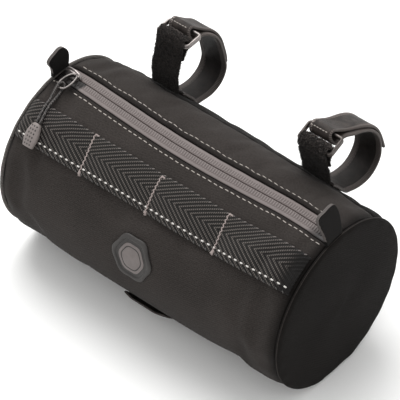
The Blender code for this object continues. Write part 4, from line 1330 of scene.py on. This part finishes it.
def bail_path():
    """A drop of wire: narrow at the slider's bridge and round at its low end."""
    turn = np.linspace(0.0, 2.0 * np.pi, 72, endpoint=False)
    reach = 0.5 - 0.5 * np.cos(turn)
    half = BAIL_HALF_WIDTH * (1.0 + 0.12 * (2.0 * reach - 1.0))
    sine = np.sin(turn)
    along = half * np.sign(sine) * np.abs(sine) ** 0.7
    start = SLIDER_TOP + SEAM_GAP + BAIL_CLEARANCE + 0.5 * BAIL_WIRE
    end = 2.0 * SEAM_GAP + CORD_DIAMETER + 0.5 * BAIL_WIRE
    return from_bridge(along, BAIL_LENGTH * reach, start + (end - start) * reach)


def closed_tube(name, path, radius, sides, up):
    """A tube along a closed path, whose ends meet."""
    around = np.concatenate([path[-2:], path, path[:2]])
    grid = tube_grid(around, radius, sides, up)[2:-2]
    return loop_mesh(name, grid, tube_uv(path, radius, sides), joined=True)


bail_up = on_barrel(slider_x(), 97.0, 0.01)[0] - on_barrel(slider_x(), 97.0)[0]
wire_loop = closed_tube("wire_loop", bail_path(), BAIL_DRAWN_RADIUS, 12, bail_up)
finish_piece(wire_loop, wire_metal, "slider_metal", "zip_bail")

# %% [markdown]
# ## The cord's finish and its grip
# The cord is a round braid, mid grey with paler crossings. Its grip is moulded round both ends:
# domed at the top, widest below its middle, and cut flat at the bottom, with rows of small
# dimples for the fingers.

# %% Braid and grip


def braid_material():
    """A round braid: two slanted waves, one each way, on the cord's own place in space."""
    material, tree, shader = start_material("cord_braid", (0.06, 0.054, 0.052), 0.7)
    place = object_place(tree)
    one = wave(tree, place, 330.0, "DIAGONAL")
    turned = put(tree, "Mapping", {"Vector": place, "Rotation": (0.0, 0.0, 1.2)}).outputs[0]
    two = wave(tree, turned, 330.0, "DIAGONAL")
    braid = times(tree, one, two)
    paint(tree, shader, blend_colours(tree, braid, (0.012, 0.0106, 0.0100), (0.15, 0.134, 0.127)))
    bump(tree, shader, braid, 0.00025, 0.8)
    return material


cord_braid = braid_material()
grip_rubber = rubber_material("grip_rubber", (0.130, 0.110, 0.103), (0.215, 0.186, 0.176), 0.6)
GRIP_LENGTH = 0.0163
GRIP_WIDTH = 0.0113
GRIP_THICKNESS = 0.0052
# The columns are the share of the length, of the width and of the thickness.
GRIP_PROFILE = np.array((
    (0.000, 0.06, 0.20), (0.006, 0.30, 0.50), (0.030, 0.48, 0.72), (0.090, 0.62, 0.88),
    (0.200, 0.78, 0.98), (0.400, 0.94, 1.00), (0.560, 1.00, 1.00), (0.720, 0.95, 0.96),
    (0.880, 0.85, 0.88), (0.970, 0.79, 0.80), (0.992, 0.74, 0.62), (1.000, 0.60, 0.40),
    (1.000, 0.06, 0.05),
))
DIMPLE_STEP_ACROSS, DIMPLE_STEP_DOWN, DIMPLE_DEPTH = 0.0022, 0.0024, 0.00045


def grip_mesh():
    """Flattened ovals down the grip, pressed in by a grid of dimples on its two faces."""
    knots = path_lengths(GRIP_PROFILE)
    fine = np.linspace(0.0, knots[-1], 150)
    reach, width, thick = (np.interp(fine, knots, column)[:, None] for column in GRIP_PROFILE.T)
    turn = np.linspace(0.0, 2.0 * np.pi, 144, endpoint=False)[None]
    cosine, sine = np.cos(turn), np.sin(turn)
    x = 0.5 * GRIP_WIDTH * width * np.sign(cosine) * np.abs(cosine) ** 0.8
    z = 0.5 * GRIP_THICKNESS * thick * np.sign(sine) * np.abs(sine) ** 0.7
    down = GRIP_LENGTH * reach + 0.0 * x
    dimples = (0.5 + 0.5 * np.cos(2.0 * np.pi * x / DIMPLE_STEP_ACROSS)) ** 2
    dimples = dimples * (0.5 + 0.5 * np.cos(2.0 * np.pi * down / DIMPLE_STEP_DOWN)) ** 2
    field = np.clip((0.0040 - np.abs(x)) / 0.0004, 0.0, 1.0)
    field = field * np.clip((down - 0.0018) / 0.0004, 0.0, 1.0)
    field = field * np.clip((GRIP_LENGTH - 0.0014 - down) / 0.0004, 0.0, 1.0)
    sunk = dimples * field * np.clip(np.abs(sine) * 3.0, 0.0, 1.0)
    z = z - DIMPLE_DEPTH * sunk * np.sign(sine)
    top = 0.5 * (CORD_ROUTE[0] + CORD_ROUTE[-1])
    lean = (top[0] - CORD_ROUTE[5:15, 0].mean()) * 0.2
    points = from_bridge(top[0] + x + lean * reach, top[1] + SEAM_GAP + down, top[2] + z)
    uv = np.stack([x, down], axis=-1) / MM
    item = loop_mesh("pull_grip", points, np.concatenate([uv, uv[:, :1]], axis=1))
    # Painted shade in the dimples.
    return mark_painted_shade_and_tone(item, 1.6 * sunk)


pull_grip = grip_mesh()
finish_piece(pull_cord, cord_braid, "cord", "pull_cord")
finish_piece(pull_grip, grip_rubber, "grip", "pull_end")

# %% [markdown]
# ## The end tabs
# A fin of folded webbing stands across each end of the zip, something to hold while pulling the
# slider. Its outline is the CAD's, swept to a thickness with a rounded edge. The folded edge shows
# the webbing's ribs end on, paler as a painted highlight where light falls on the fold, and the
# face is black.

# %% Folded tabs
TAB_WIDTH = 0.019
TAB_HEIGHT = 0.021
TAB_THICKNESS = 0.003
# The columns are shares of the width and of the height.
LEFT_TAB_OUTLINE = np.array((
    (-0.42, 0.14), (-0.46, 0.34), (-0.60, 0.60), (-0.62, 0.72), (-0.54, 0.81), (-0.28, 0.92),
    (-0.04, 1.00), (0.10, 0.98), (0.30, 0.84), (0.43, 0.62), (0.46, 0.36), (0.42, 0.14),
))
RIGHT_TAB_OUTLINE = np.array((
    (-0.42, 0.14), (-0.45, 0.40), (-0.56, 0.80), (-0.58, 1.04), (-0.50, 1.12), (-0.20, 1.16),
    (0.14, 1.20), (0.30, 1.18), (0.42, 1.00), (0.48, 0.72), (0.46, 0.36), (0.42, 0.14),
))
# From the middle of one face to its rim. The columns are the share of the outline and of the
# thickness.
TAB_RINGS = np.array((
    (0.02, 1.0), (0.5, 1.0), (0.93, 1.0), (0.975, 0.97), (0.995, 0.88), (1.0, 0.72),
))
TAB_UPPER_POINTS = 66


def tab_mesh(name, side, lean, outline):
    """The outline shrunk to its middle in a few rings. The thickness falls off at its rim."""
    share = side * (0.5 * BARREL_LENGTH + 0.001)
    centre = float(section(ZIP, share)) + arc(0.002)
    base = on_barrel(share, centre)[0]
    foot = centre + np.linspace(-1.0, 1.0, 14) * arc(0.5 * TAB_WIDTH * 0.84)
    foot_out = SEAM_GAP + 0.5 * TAB_THICKNESS * math.sin(abs(lean))
    foot = on_barrel(share, foot, foot_out)[:, 1:] - base[1:]
    upper = smooth_path(outline * (TAB_WIDTH, TAB_HEIGHT), TAB_UPPER_POINTS)
    outline = np.concatenate([upper, foot])
    middle = 0.5 * (outline.min(axis=0) + outline.max(axis=0))
    shares = np.concatenate([TAB_RINGS[:, 0], TAB_RINGS[::-1, 0]])[:, None, None]
    depths = np.concatenate([TAB_RINGS[:, 1], -TAB_RINGS[::-1, 1]])[:, None] * 0.5 * TAB_THICKNESS
    flat = middle + (outline[None] - middle) * shares
    edge = path_lengths(outline)[None]
    depths = depths * (1.0 + 0.06 * (shares[..., 0] > 0.95) * np.sin(2.0 * np.pi * edge / 0.0016))
    cosine, sine = math.cos(lean), math.sin(lean)
    x = base[0] + depths * cosine + flat[..., 1] * sine
    z = base[2] - depths * sine + flat[..., 1] * cosine
    points = np.stack([x, base[1] + flat[..., 0], z], axis=-1)
    uv = np.stack([flat[..., 0], flat[..., 1]], axis=-1) / MM
    return loop_mesh(name, points, np.concatenate([uv, uv[:, :1]], axis=1))


def fold_material():
    """The folded webbing seen at its edge: ribs along the fold, set by the place along X, and
    painted pale as a highlight where light falls on the fold.
    """
    material, tree, shader = start_material("tab_fold_painted_highlight", (0.12, 0.104, 0.097), 0.75)
    place = object_place(tree)
    ribs = wave(tree, place, 330.0, "X")
    paint(tree, shader, blend_colours(tree, ribs, (0.006, 0.0052, 0.0048), (0.135, 0.116, 0.108)))
    bump(tree, shader, ribs, 0.0003, 0.8)
    return material


tab_fold_painted_highlight = fold_material()


def dress_tab(item, node):
    """Black faces, and round the rim, where the fold shows, the paler finish of a painted
    highlight.
    """
    finish_piece(item, plain_webbing, "tab_webbing", node)
    item.data.materials.append(tab_fold_painted_highlight)
    columns = len(item.data.vertices) // (2 * len(TAB_RINGS))
    ring, column = np.divmod(np.arange(len(item.data.polygons)), columns)
    rim = (ring >= len(TAB_RINGS) - 2) & (ring <= len(TAB_RINGS))
    fold = rim & (column < TAB_UPPER_POINTS - 2)
    item.data.polygons.foreach_set("material_index", fold.astype(np.int32))
    return item


dress_tab(tab_mesh("left_zip_tab", -1, 0.0, LEFT_TAB_OUTLINE), "left_end_tab")
right_lean = math.radians(-16.0)
dress_tab(tab_mesh("right_zip_tab", 1, right_lean, RIGHT_TAB_OUTLINE), "right_end_tab")

# %% [markdown]
# ## The straps' routes
# Two hook-and-loop straps go round the handlebar. Each rises from the back panel, curves round,
# passes through a metal ring held by a fuzzy leg, and lies back over itself. Their middle lines
# are flat curves in the Y-Z plane. They are worked out as in the CAD: a lead up to the ring, a
# fold round its bar, and a tail one strap's thickness outside the lead.

# %% Routes of straps, legs and rings
STRAP_OFFSETS = {"left": -0.0666, "right": 0.0716}
STRAP_WIDTH, STRAP_THICKNESS, TAIL_WIDTH = 0.0235, 0.0022, 0.0210
LEG_WIDTH, LEG_WRAP_WIDTH, LEG_THICKNESS = 0.0245, 0.0235, 0.0024
RING_WIRE, RING_DEPTH, RING_CLEARANCE = 0.0022, 0.0144, 0.0004
LOOP_ANGLE, LOOP_SPAN, LOOP_REACH = 37.5, 0.077, 0.051
LAYER_GAP = 0.0004

# The columns of the rows and tips are the share of the span along the loop and of its reach.
STRAP_ROWS = {
    "left": ((-0.240, 0.096), (-0.343, 0.296), (-0.364, 0.481), (-0.314, 0.648), (-0.196, 0.757),
             (-0.078, 0.834), (0.068, 0.906), (0.182, 0.916), (0.321, 0.853)),
    "right": ((-0.227, 0.065), (-0.355, 0.215), (-0.423, 0.375), (-0.428, 0.543), (-0.384, 0.688),
              (-0.294, 0.794), (-0.202, 0.864), (0.030, 0.884), (0.151, 0.821), (0.297, 0.694),
              (0.407, 0.582)),
}
LEG_ROWS = {
    "left": ((0.292, 0.043), (0.393, 0.153), (0.466, 0.300), (0.535, 0.424)),
    "right": ((0.349, 0.076), (0.464, 0.141)),
}
# The third column of the rings is their tilt in degrees.
RINGS = {"left": (0.519, 0.664, 4.0), "right": (0.535, 0.400, 22.7)}
TIPS = {
    "left": ((-0.213, 0.804), (-0.281, 0.744)),
    "right": ((-0.206, 0.917), (-0.309, 0.870), (-0.397, 0.824)),
}
BAND_SLACK = 0.0026
TAILS = {"left": 0.046, "right": 0.050}
# The folds are degrees round the ring's bar.
LEG_FOLD = (195, 165, 135, 110, 90, 70, 45, 15, -15, -42)
STRAP_FOLDS = {
    "left": (-88, -115, -145, -180, -210, -240, -268, -292),
    "right": (-96, -120, -145, -170, -195, -220, -245, -270, -295, -312),
}
# How many points the lead and the tail of a band get.
STRAP_SAMPLES, LEG_SAMPLES = (42, 22), (22, 7)


def loop_point(offset, along, out):
    """A point in a strap loop's own frame, as y and z."""
    angle = math.radians(LOOP_ANGLE)
    base = float(barrel_radius(offset, LOOP_ANGLE)) + out
    y = base * math.cos(angle) - along * math.sin(angle)
    return np.array([y, AXIS_HEIGHT + base * math.sin(angle) + along * math.cos(angle)])


def table_points(offset, rows):
    """Loop points from a table of shares of the span and the reach."""
    return [loop_point(offset, along * LOOP_SPAN, out * LOOP_REACH) for along, out in rows]


def over_barrel(offset, degrees, width, height):
    """A point above the highest part of the barrel under a band of that width."""
    x = np.array([offset - 0.5 * width, offset, offset + 0.5 * width])
    radius = float(barrel_radius(x, degrees).max()) + height
    angle = math.radians(degrees)
    return np.array([radius * math.cos(angle), AXIS_HEIGHT + radius * math.sin(angle)])


def ring_frame(side):
    """The ring's middle, and its directions back along its depth and up through its hole."""
    along, out, tilt = RINGS[side]
    middle = loop_point(STRAP_OFFSETS[side], along * LOOP_SPAN, out * LOOP_REACH)
    cosine, sine = math.cos(math.radians(tilt)), math.sin(math.radians(tilt))
    return middle, np.array([cosine, sine]), np.array([-sine, cosine])


def round_bar(bar, back, up, thickness, slack, angles):
    """Points of a band's middle line round a bar, looser by the slack towards the ring's middle."""
    loose = RING_CLEARANCE + 0.5 * thickness + 0.5 * abs(slack)
    centre = bar + back * 0.5 * slack
    turns = np.radians(angles)[:, None]
    along = back * (0.5 * RING_WIRE + loose) * np.cos(turns)
    return centre + along + up * (RING_WIRE + loose) * np.sin(turns)


def left_of(path, *spacing):
    """The direction to the left of a flat path, at each of its points."""
    ahead = unit(np.gradient(path, *spacing, axis=0))
    return np.stack([-ahead[:, 1], ahead[:, 0]], axis=1)


def folded_path(lead, fold, step, start, stop, tip, samples):
    """Up the lead, round a bar, then back along the lead one step away from start to stop."""
    lead = smooth_path(np.concatenate([lead, fold[:1]]), samples[0])
    back = lead[::-1]
    beside = back + left_of(back) * step
    gone = path_lengths(back)
    kept = beside[(gone > start) & (gone < stop)]
    rest = [tip] if len(tip) else []
    tail = smooth_path(np.concatenate([fold[-1:], kept[::2], *rest]), samples[1])
    return np.concatenate([lead, fold[1:-1], tail])


def leg_path(side):
    """The fuzzy leg: from the panel's seam over the ring's front bar and back to itself."""
    offset = STRAP_OFFSETS[side]
    middle, back, up = ring_frame(side)
    foot = over_barrel(offset, 52.0, LEG_WIDTH, 0.0009)
    lead = np.array([foot] + table_points(offset, LEG_ROWS[side]))
    bar = middle - back * 0.5 * RING_DEPTH
    fold = round_bar(bar, back, up, LEG_THICKNESS, BAND_SLACK, LEG_FOLD)
    return folded_path(lead, fold, LEG_THICKNESS + LAYER_GAP, 0.0095, 0.0135, [], LEG_SAMPLES)


def strap_path(side):
    """The strap: from its sewn foot round the back, up through the ring and back over itself."""
    offset = STRAP_OFFSETS[side]
    middle, back, up = ring_frame(side)
    height = SEAM_GAP + 0.5 * STRAP_THICKNESS
    places = np.linspace(46.0, 27.0, 5)
    foot = [over_barrel(offset, degrees, STRAP_WIDTH, height) for degrees in places]
    lead = np.array(foot + table_points(offset, STRAP_ROWS[side]))
    bar = middle + back * 0.5 * RING_DEPTH
    fold = round_bar(bar, back, up, STRAP_THICKNESS, -BAND_SLACK, STRAP_FOLDS[side])
    tip = table_points(offset, TIPS[side])
    step = STRAP_THICKNESS + LAYER_GAP
    return folded_path(lead, fold, step, 0.012, TAILS[side], tip, STRAP_SAMPLES)


def widths_along(path, turn, taper, first, last):
    """A band's width: first up to the taper before the turn, then last."""
    lengths = path_lengths(path)
    places = (0.0, turn - 2.0 * taper, turn - taper, lengths[-1])
    return np.interp(lengths, places, (first, first, last, last))


def finer(path, values, step):
    """The path and the values that go with it, at even and finer steps."""
    lengths = path_lengths(path)
    even = np.linspace(0.0, lengths[-1], int(lengths[-1] / step))
    dense = np.stack([eased(lengths, path[:, axis], even) for axis in range(2)], axis=1)
    return dense, np.interp(even, lengths, values)


def band_section(samples, edge):
    """A flat section's loop: across from -1 to 1 and back, and its half thickness at each place."""
    even = np.linspace(-1.0, 1.0, samples)
    across = np.sin(0.5 * np.pi * (0.35 * even**3 + 0.65 * even))
    across = across / across[-1]
    half = 0.5 * (1.0 - np.abs(across) ** edge) ** 0.5
    return np.concatenate([across, across[-2:0:-1]]), np.concatenate([half, -half[-2:0:-1]])


def band_grid(offset, path, widths, thickness, section_loop, relief=0.0):
    """The section carried along the path: across is X, and thickness is to the path's left."""
    across, depth = section_loop
    x = offset + 0.5 * widths[:, None] * across[None]
    away = thickness * depth[None] + relief * np.sign(depth)[None]
    yz = path[:, None] + left_of(path)[:, None] * away[..., None]
    return np.concatenate([x[..., None], yz], axis=-1)


def band_uv(path, widths, section_loop):
    """UV in millimetres: along the path, and across the band."""
    across = np.concatenate([section_loop[0], section_loop[0][:1]])
    along = path_lengths(path)[:, None] + 0.0 * across[None]
    return np.stack([along, 0.5 * widths[:, None] * across[None]], axis=-1) / MM


for side in STRAP_OFFSETS:
    print(side, "strap is", round(path_lengths(strap_path(side))[-1] / MM), "mm long")

# %% [markdown]
# ## Smooth straps
# The straps are a dark, slightly shiny tape with a ribbed, paler binding sewn over each edge.
# The binding is relief on the outer sixth of the width at either side. The tape's middle has
# fine cross ribs, which are left to the bump, and a row of thread beside its left binding.

# %% Strap finish and straps
# The tail lies this far along X from its lead.
TAIL_SHIFT = -0.0018
# The thread crosses the tail at the first distance past the fold, from right to left, and
# then runs along the left binding up to the second.
STITCH_CROSSING, STITCH_END = 0.0105, 0.0200
STITCH_LEFT, STITCH_RIGHT = -0.0078, 0.0062


def strap_material():
    """Dark satin tape with paler bound edges and a line of thread, placed by the UV."""
    material, tree, shader = start_material("smooth_strap", (0.045, 0.038, 0.035), 0.55,
                                            Specular_IOR_Level=0.14, Sheen_Weight=0.01)
    uv = cloth_uv(tree)
    parts = put(tree, "SeparateXYZ", {0: uv})
    along, across = parts.outputs[0], parts.outputs[1]
    left = times(tree, maths(tree, "SUBTRACT", -7.4, across), 4.0)
    right = times(tree, maths(tree, "SUBTRACT", across, 7.8), 4.0)
    bound = clamped(maths(tree, "MAXIMUM", left, right))
    fine = wave(tree, uv, 0.45, "X", 0.5)
    ribs = wave(tree, uv, 0.26, "X")
    cloudy = noise(tree, uv, 0.15, 5.0)
    patchy = clamped(maths(tree, "MULTIPLY_ADD", cloudy, 2.6, -0.82))
    middle = blend_colours(tree, times(tree, fine, patchy), (0.010, 0.0080, 0.0070),
                           (0.078, 0.063, 0.056))
    edge = blend_colours(tree, ribs, (0.020, 0.0168, 0.0153), (0.125, 0.106, 0.098))
    near = maths(tree, "LESS_THAN", maths(tree, "ABSOLUTE", plus(tree, across, 7.0)), 0.24)
    beat = maths(tree, "SINE", times(tree, along, 2.0 * math.pi / 2.6))
    dashes = maths(tree, "GREATER_THAN", beat, -0.4)
    bare = blend_colours(tree, times(tree, near, dashes), middle, (0.21, 0.180, 0.168))
    paint(tree, shader, with_painted_shade_and_tone(tree, blend_colours(tree, bound, bare, edge)))
    bump(tree, shader, plus(tree, fine, times(tree, ribs, bound)), 0.00015, 0.6)
    return material


satin = strap_material()


def tail_share(along, turn):
    """How far the tail is off its lead's middle: most just past the fold, none at the free end."""
    gone = along - turn
    return smooth_step((gone - 0.002) / 0.010) * (1.0 - smooth_step((gone - 0.016) / 0.042))


def pressed(grid, along, reach, offset, width):
    """Lowers a band's foot onto the cloth, which isn't equally high under its whole width."""
    degrees = np.degrees(np.arctan2(grid[..., 2] - AXIS_HEIGHT, grid[..., 1]))
    under = np.array([offset - 0.5 * width, offset, offset + 0.5 * width])[:, None, None]
    highest = barrel_radius(under, degrees[None]).max(axis=0)
    drop = barrel_radius(grid[..., 0], degrees) + cloth_rise(grid[..., 0], degrees) - highest
    drop = drop * smooth_step((reach - along) / 0.010)
    angle = np.radians(degrees)
    return grid + drop[..., None] * np.stack([0.0 * angle, np.cos(angle), np.sin(angle)], axis=-1)


def strap_mesh(side):
    """A strap with its bound, ribbed edges as relief. Its inner side is darker."""
    path = strap_path(side)
    turn = path_lengths(path)[STRAP_SAMPLES[0]]
    widths = widths_along(path, turn, 0.009, STRAP_WIDTH, TAIL_WIDTH)
    path, widths = finer(path, widths, 0.0006)
    widths = widths - 0.0028 * tail_share(path_lengths(path), turn)
    loop = band_section(49, 26.0)
    along = path_lengths(path)[:, None]
    bound = np.clip((-loop[0] - 0.63) / 0.03, 0.0, 1.0)
    bound = bound + np.clip((loop[0] - 0.66) / 0.03, 0.0, 1.0)
    relief = bound[None] * (0.00010 + 0.00008 * np.cos(2.0 * np.pi * along / 0.0012))
    shift = TAIL_SHIFT * tail_share(along, turn)
    grid = band_grid(STRAP_OFFSETS[side] + shift, path, widths, STRAP_THICKNESS - 0.0002,
                     loop, relief)
    grid = pressed(grid, along, 0.026, STRAP_OFFSETS[side], STRAP_WIDTH)
    item = loop_mesh(f"{side}_satin_strap", grid, band_uv(path, widths, loop))
    inner = np.where(along < turn + 0.002, loop[1][None] > 0.0, loop[1][None] < 0.0)
    return mark_painted_shade_and_tone(item, inner * (0.70 - 0.42 * np.clip(bound, 0.0, 1.0)[None]))


def fold_stitches(side):
    """A row of thread across the tail just above its fold, turning up along the binding."""
    path = strap_path(side)
    lengths = path_lengths(path)
    turn = lengths[STRAP_SAMPLES[0]]
    left = left_of(path, lengths)
    end = np.array([turn + STITCH_END, STITCH_LEFT])
    corner = np.array([turn + STITCH_CROSSING, STITCH_LEFT])
    start = np.array([turn + STITCH_CROSSING, STITCH_RIGHT])
    at = np.concatenate([np.linspace(end, corner, 30)[:-1], np.linspace(corner, start, 30)])
    face = path + left * (0.5 * STRAP_THICKNESS - 0.00005)
    y, z = (np.interp(at[:, 0], lengths, part) for part in face.T)
    out_y, out_z = (np.interp(at[:, 0], lengths, part) for part in left.T)
    x = STRAP_OFFSETS[side] + TAIL_SHIFT * tail_share(at[:, 0], turn) + at[:, 1]
    points = np.stack([x, y, z], axis=1)
    out = np.stack([0.0 * y, out_y, out_z], axis=1)
    return dash_line(f"{side}_strap_stitches", points, out, 0.0024, 0.8, 0.00062)


for side in STRAP_OFFSETS:
    finish_piece(strap_mesh(side), satin, "smooth_strap", f"{side}_strap")
    finish_piece(fold_stitches(side), pale_thread, "smooth_strap")

# %% [markdown]
# ## Fuzzy legs
# The leg that holds each ring is loop pile: near black, soft-edged, with tiny loops that catch the
# light, given as painted glints. The band's surface is lumpy from a few crossed waves, and
# thousands of small arches of yarn stand on it, darkened by painted shade away from the ring's bar.
# Each arch has fewer than twenty faces.

# %% Pile finish, legs and their loops


def pile_material(name, dark, light):
    """Loop pile: rough, with a strong sheen and small uneven tufts, whose lighter spots are painted
    glints.
    """
    material, tree, shader = start_material(name, light, 0.95, Specular_IOR_Level=0.15,
                                            Sheen_Weight=0.08, Sheen_Roughness=0.4)
    place = object_place(tree)
    tufts = noise(tree, place, 900.0, 4.0)
    # Painted glints on the lighter tufts.
    glint = clamped(times(tree, maths(tree, "SUBTRACT", tufts, 0.40), 4.0))
    paint(tree, shader, with_painted_shade_and_tone(tree, blend_colours(tree, glint, dark, light)))
    bump(tree, shader, tufts, 0.0006, 1.0)
    return material


pile = pile_material("loop_pile", (0.0045, 0.0038, 0.0035), (0.021, 0.0177, 0.0161))
pile_yarn_painted_glints = pile_material("pile_yarn_painted_glints", (0.007, 0.0059, 0.0055), (0.170, 0.144, 0.132))
LOOPS_PER_LEG = 4200
FIRST_SEED = 40


def leg_grid(side):
    """The leg's band with waves that make its surface lumpy."""
    path = leg_path(side)
    turn = path_lengths(path)[LEG_SAMPLES[0]]
    widths = widths_along(path, turn, 0.004, LEG_WIDTH, LEG_WRAP_WIDTH)
    path, widths = finer(path, widths, 0.0007)
    loop = band_section(45, 14.0)
    along = path_lengths(path)[:, None]
    lumps = np.sin(along / 0.00052 + 3.0 * np.sin(loop[0] * 9.0))
    lumps = lumps * np.sin(loop[0][None] * 31.0 + along / 0.0021)
    grid = band_grid(STRAP_OFFSETS[side], path, widths, LEG_THICKNESS - 0.0004,
                     loop, 0.00016 * lumps)
    grid = pressed(grid, along, 0.010, STRAP_OFFSETS[side], LEG_WIDTH)
    return grid, band_uv(path, widths, loop)


def arch_shape(radius, wire):
    """A small arch: a half circle of yarn with a three-sided section."""
    t = np.linspace(0.0, np.pi, 6)
    rise = 1.5 * radius * np.sin(t) - 0.0001
    path = np.stack([radius * np.cos(t), 0.3 * radius * np.sin(2.0 * t), rise], axis=1)
    grid = tube_grid(path, wire, 3, np.array([0.1, 1.0, 0.1]))
    return grid.reshape(-1, 3), closed_faces(len(path), 3)


def pile_loops(name, grid, seed, bar):
    """Arches at random places on a grid, along its normals, turned at random, longer at the bar,
    and darker away from it as painted shade.
    """
    random = np.random.default_rng(seed)
    rows, columns = grid.shape[:2]
    row = random.integers(1, rows - 1, LOOPS_PER_LEG)
    column = random.integers(0, columns, LOOPS_PER_LEG)
    nearby = (column + 1) % columns
    mix = random.random((LOOPS_PER_LEG, 1))
    places = grid[row, column] * (1.0 - mix) + grid[row, nearby] * mix
    along = grid[row + 1, column] - grid[row - 1, column]
    across = grid[row, nearby] - grid[row, column - 1]
    out = np.cross(across, along)
    centre = grid.mean(axis=1)[row]
    out = out * np.sign(np.sum(out * (places - centre), axis=1, keepdims=True))
    out = unit(out)
    turn = random.random((LOOPS_PER_LEG, 1)) * 2.0 * np.pi
    ahead = np.cos(turn) * unit(along) + np.sin(turn) * unit(across)
    away = np.linalg.norm(places[:, 1:] - bar, axis=1)[:, None, None]
    size = 0.55 + 0.6 * random.random((LOOPS_PER_LEG, 1, 1))
    size = size * (1.0 + 1.1 * np.exp(-((away / 0.0042) ** 2)))
    shape, faces = arch_shape(0.00048, 0.00010)
    out = out + 0.25 * random.standard_normal(out.shape)
    item = repeated(name, shape[None] * size, faces, places, ahead, out)
    # Painted shade away from the bar, so the painted glints show near the fold only.
    return mark_painted_shade_and_tone(item, np.repeat(np.clip(away[:, 0, 0] / 0.015, 0.0, 0.85), shape.shape[0]))


for number, side in enumerate(STRAP_OFFSETS):
    grid, uv = leg_grid(side)
    finish_piece(loop_mesh(f"{side}_pile_leg", grid, uv), pile, "pile_strap", f"{side}_strap_front")
    middle, back, up = ring_frame(side)
    bar = middle - back * 0.25 * RING_DEPTH + up * RING_WIRE
    yarn = pile_loops(f"{side}_pile_yarn_painted_glints", grid, FIRST_SEED + number, bar)
    finish_piece(yarn, pile_yarn_painted_glints, "pile_strap")

# %% [markdown]
# ## The rings
# Each ring is a flat rectangle of two wires, one above the other, bent round tight corners. A
# closed path with round corners carries each wire, so the pair shows two bright parallel lines.

# %% Wire rings
RING_WIRE_RADIUS = 0.00106
RING_WIRE_LIFT = 0.00108
RING_CORNER = 0.0020


def ring_path(side, lift):
    """A rounded rectangle round the strap's passage, lifted along the ring's own up."""
    half_width = 0.5 * STRAP_WIDTH + 0.0012 + 0.5 * RING_WIRE
    quarters = [start + np.linspace(0.0, 90.0, 9) for start in (0.0, 90.0, 180.0, 270.0)]
    turns = np.radians(np.concatenate(quarters))
    side_x = np.repeat((1, -1, -1, 1), 9) * (half_width - RING_CORNER)
    side_y = np.repeat((1, 1, -1, -1), 9) * (0.5 * RING_DEPTH - RING_CORNER)
    x = side_x + RING_CORNER * np.cos(turns)
    deep = side_y + RING_CORNER * np.sin(turns)
    middle, back, up = ring_frame(side)
    yz = middle + back * deep[:, None] + up * lift
    return np.column_stack([STRAP_OFFSETS[side] + x, yz])


# The two rings are the same metal: the left one's paler colour is a painted reflection, and the
# right one's darker brown is painted shade.
left_ring_metal = metal_material("ring_metal_painted_reflection", (0.13, 0.116, 0.110),
                                 (0.36, 0.328, 0.314), 0.34)
right_ring_metal = metal_material("ring_metal_painted_shade", (0.040, 0.034, 0.031),
                                  (0.17, 0.150, 0.140), 0.36)
for side, metal in (("left", left_ring_metal), ("right", right_ring_metal)):
    tilt = math.radians(RINGS[side][2])
    up = np.array([0.0, -math.sin(tilt), math.cos(tilt)])
    for name, lift in (("upper", RING_WIRE_LIFT), ("lower", -RING_WIRE_LIFT)):
        path = ring_path(side, lift)
        item = closed_tube(f"{side}_ring_{name}_wire", path, RING_WIRE_RADIUS, 14, up)
        finish_piece(item, metal, "ring_metal", *((f"{side}_ring",) if name == "upper" else ()))

# %% [markdown]
# ## Floor and light
# A plain pale floor and soft light from the upper left and behind, as in a product photograph.
# Large area lights give soft edges, and a bright plain world fills the shadows. The Standard
# view shows colours as they are, so the floor can be white while black cloth stays black.

# %% Floor, lamps and world
FLOOR_HALF, FLOOR_HEIGHT = 6.0, -0.0004
floor_corners = [(x * FLOOR_HALF, y * FLOOR_HALF, FLOOR_HEIGHT)
                 for x, y in ((-1, -1), (1, -1), (1, 1), (-1, 1))]
floor_mesh = bpy.data.meshes.new("studio_floor")
floor_mesh.from_pydata(floor_corners, [], [(0, 1, 2, 3)])
floor = bpy.data.objects.new("studio_floor", floor_mesh)
bpy.context.scene.collection.objects.link(floor)
floor_mesh.materials.append(start_material("studio_floor", (0.93, 0.93, 0.92), 0.9)[0])


def lamp(name, place, size, power):
    """A square area light that looks at the bag."""
    light = bpy.data.lights.new(name, "AREA")
    light.size = size
    light.energy = power
    item = bpy.data.objects.new(name, light)
    item.location = place
    to_bag = Vector((0.0, 0.0, AXIS_HEIGHT)) - Vector(place)
    item.rotation_euler = to_bag.to_track_quat("-Z", "Y").to_euler()
    bpy.context.scene.collection.objects.link(item)
    return item


lamp("key_light", (-0.8, 0.6, 1.6), 1.5, 38.0)
lamp("front_light", (-0.5, -1.6, 1.1), 1.2, 4.0)
lamp("right_light", (1.6, 0.4, 0.9), 0.8, 1.5)
world = bpy.data.worlds.new("studio_world")
world.use_nodes = True
world.node_tree.nodes["Background"].inputs["Color"].default_value = (1.0, 1.0, 1.0, 1.0)
world.node_tree.nodes["Background"].inputs["Strength"].default_value = 0.85
bpy.context.scene.world = world
bpy.context.scene.view_settings.view_transform = "Standard"
print("floor and lamps are in place")
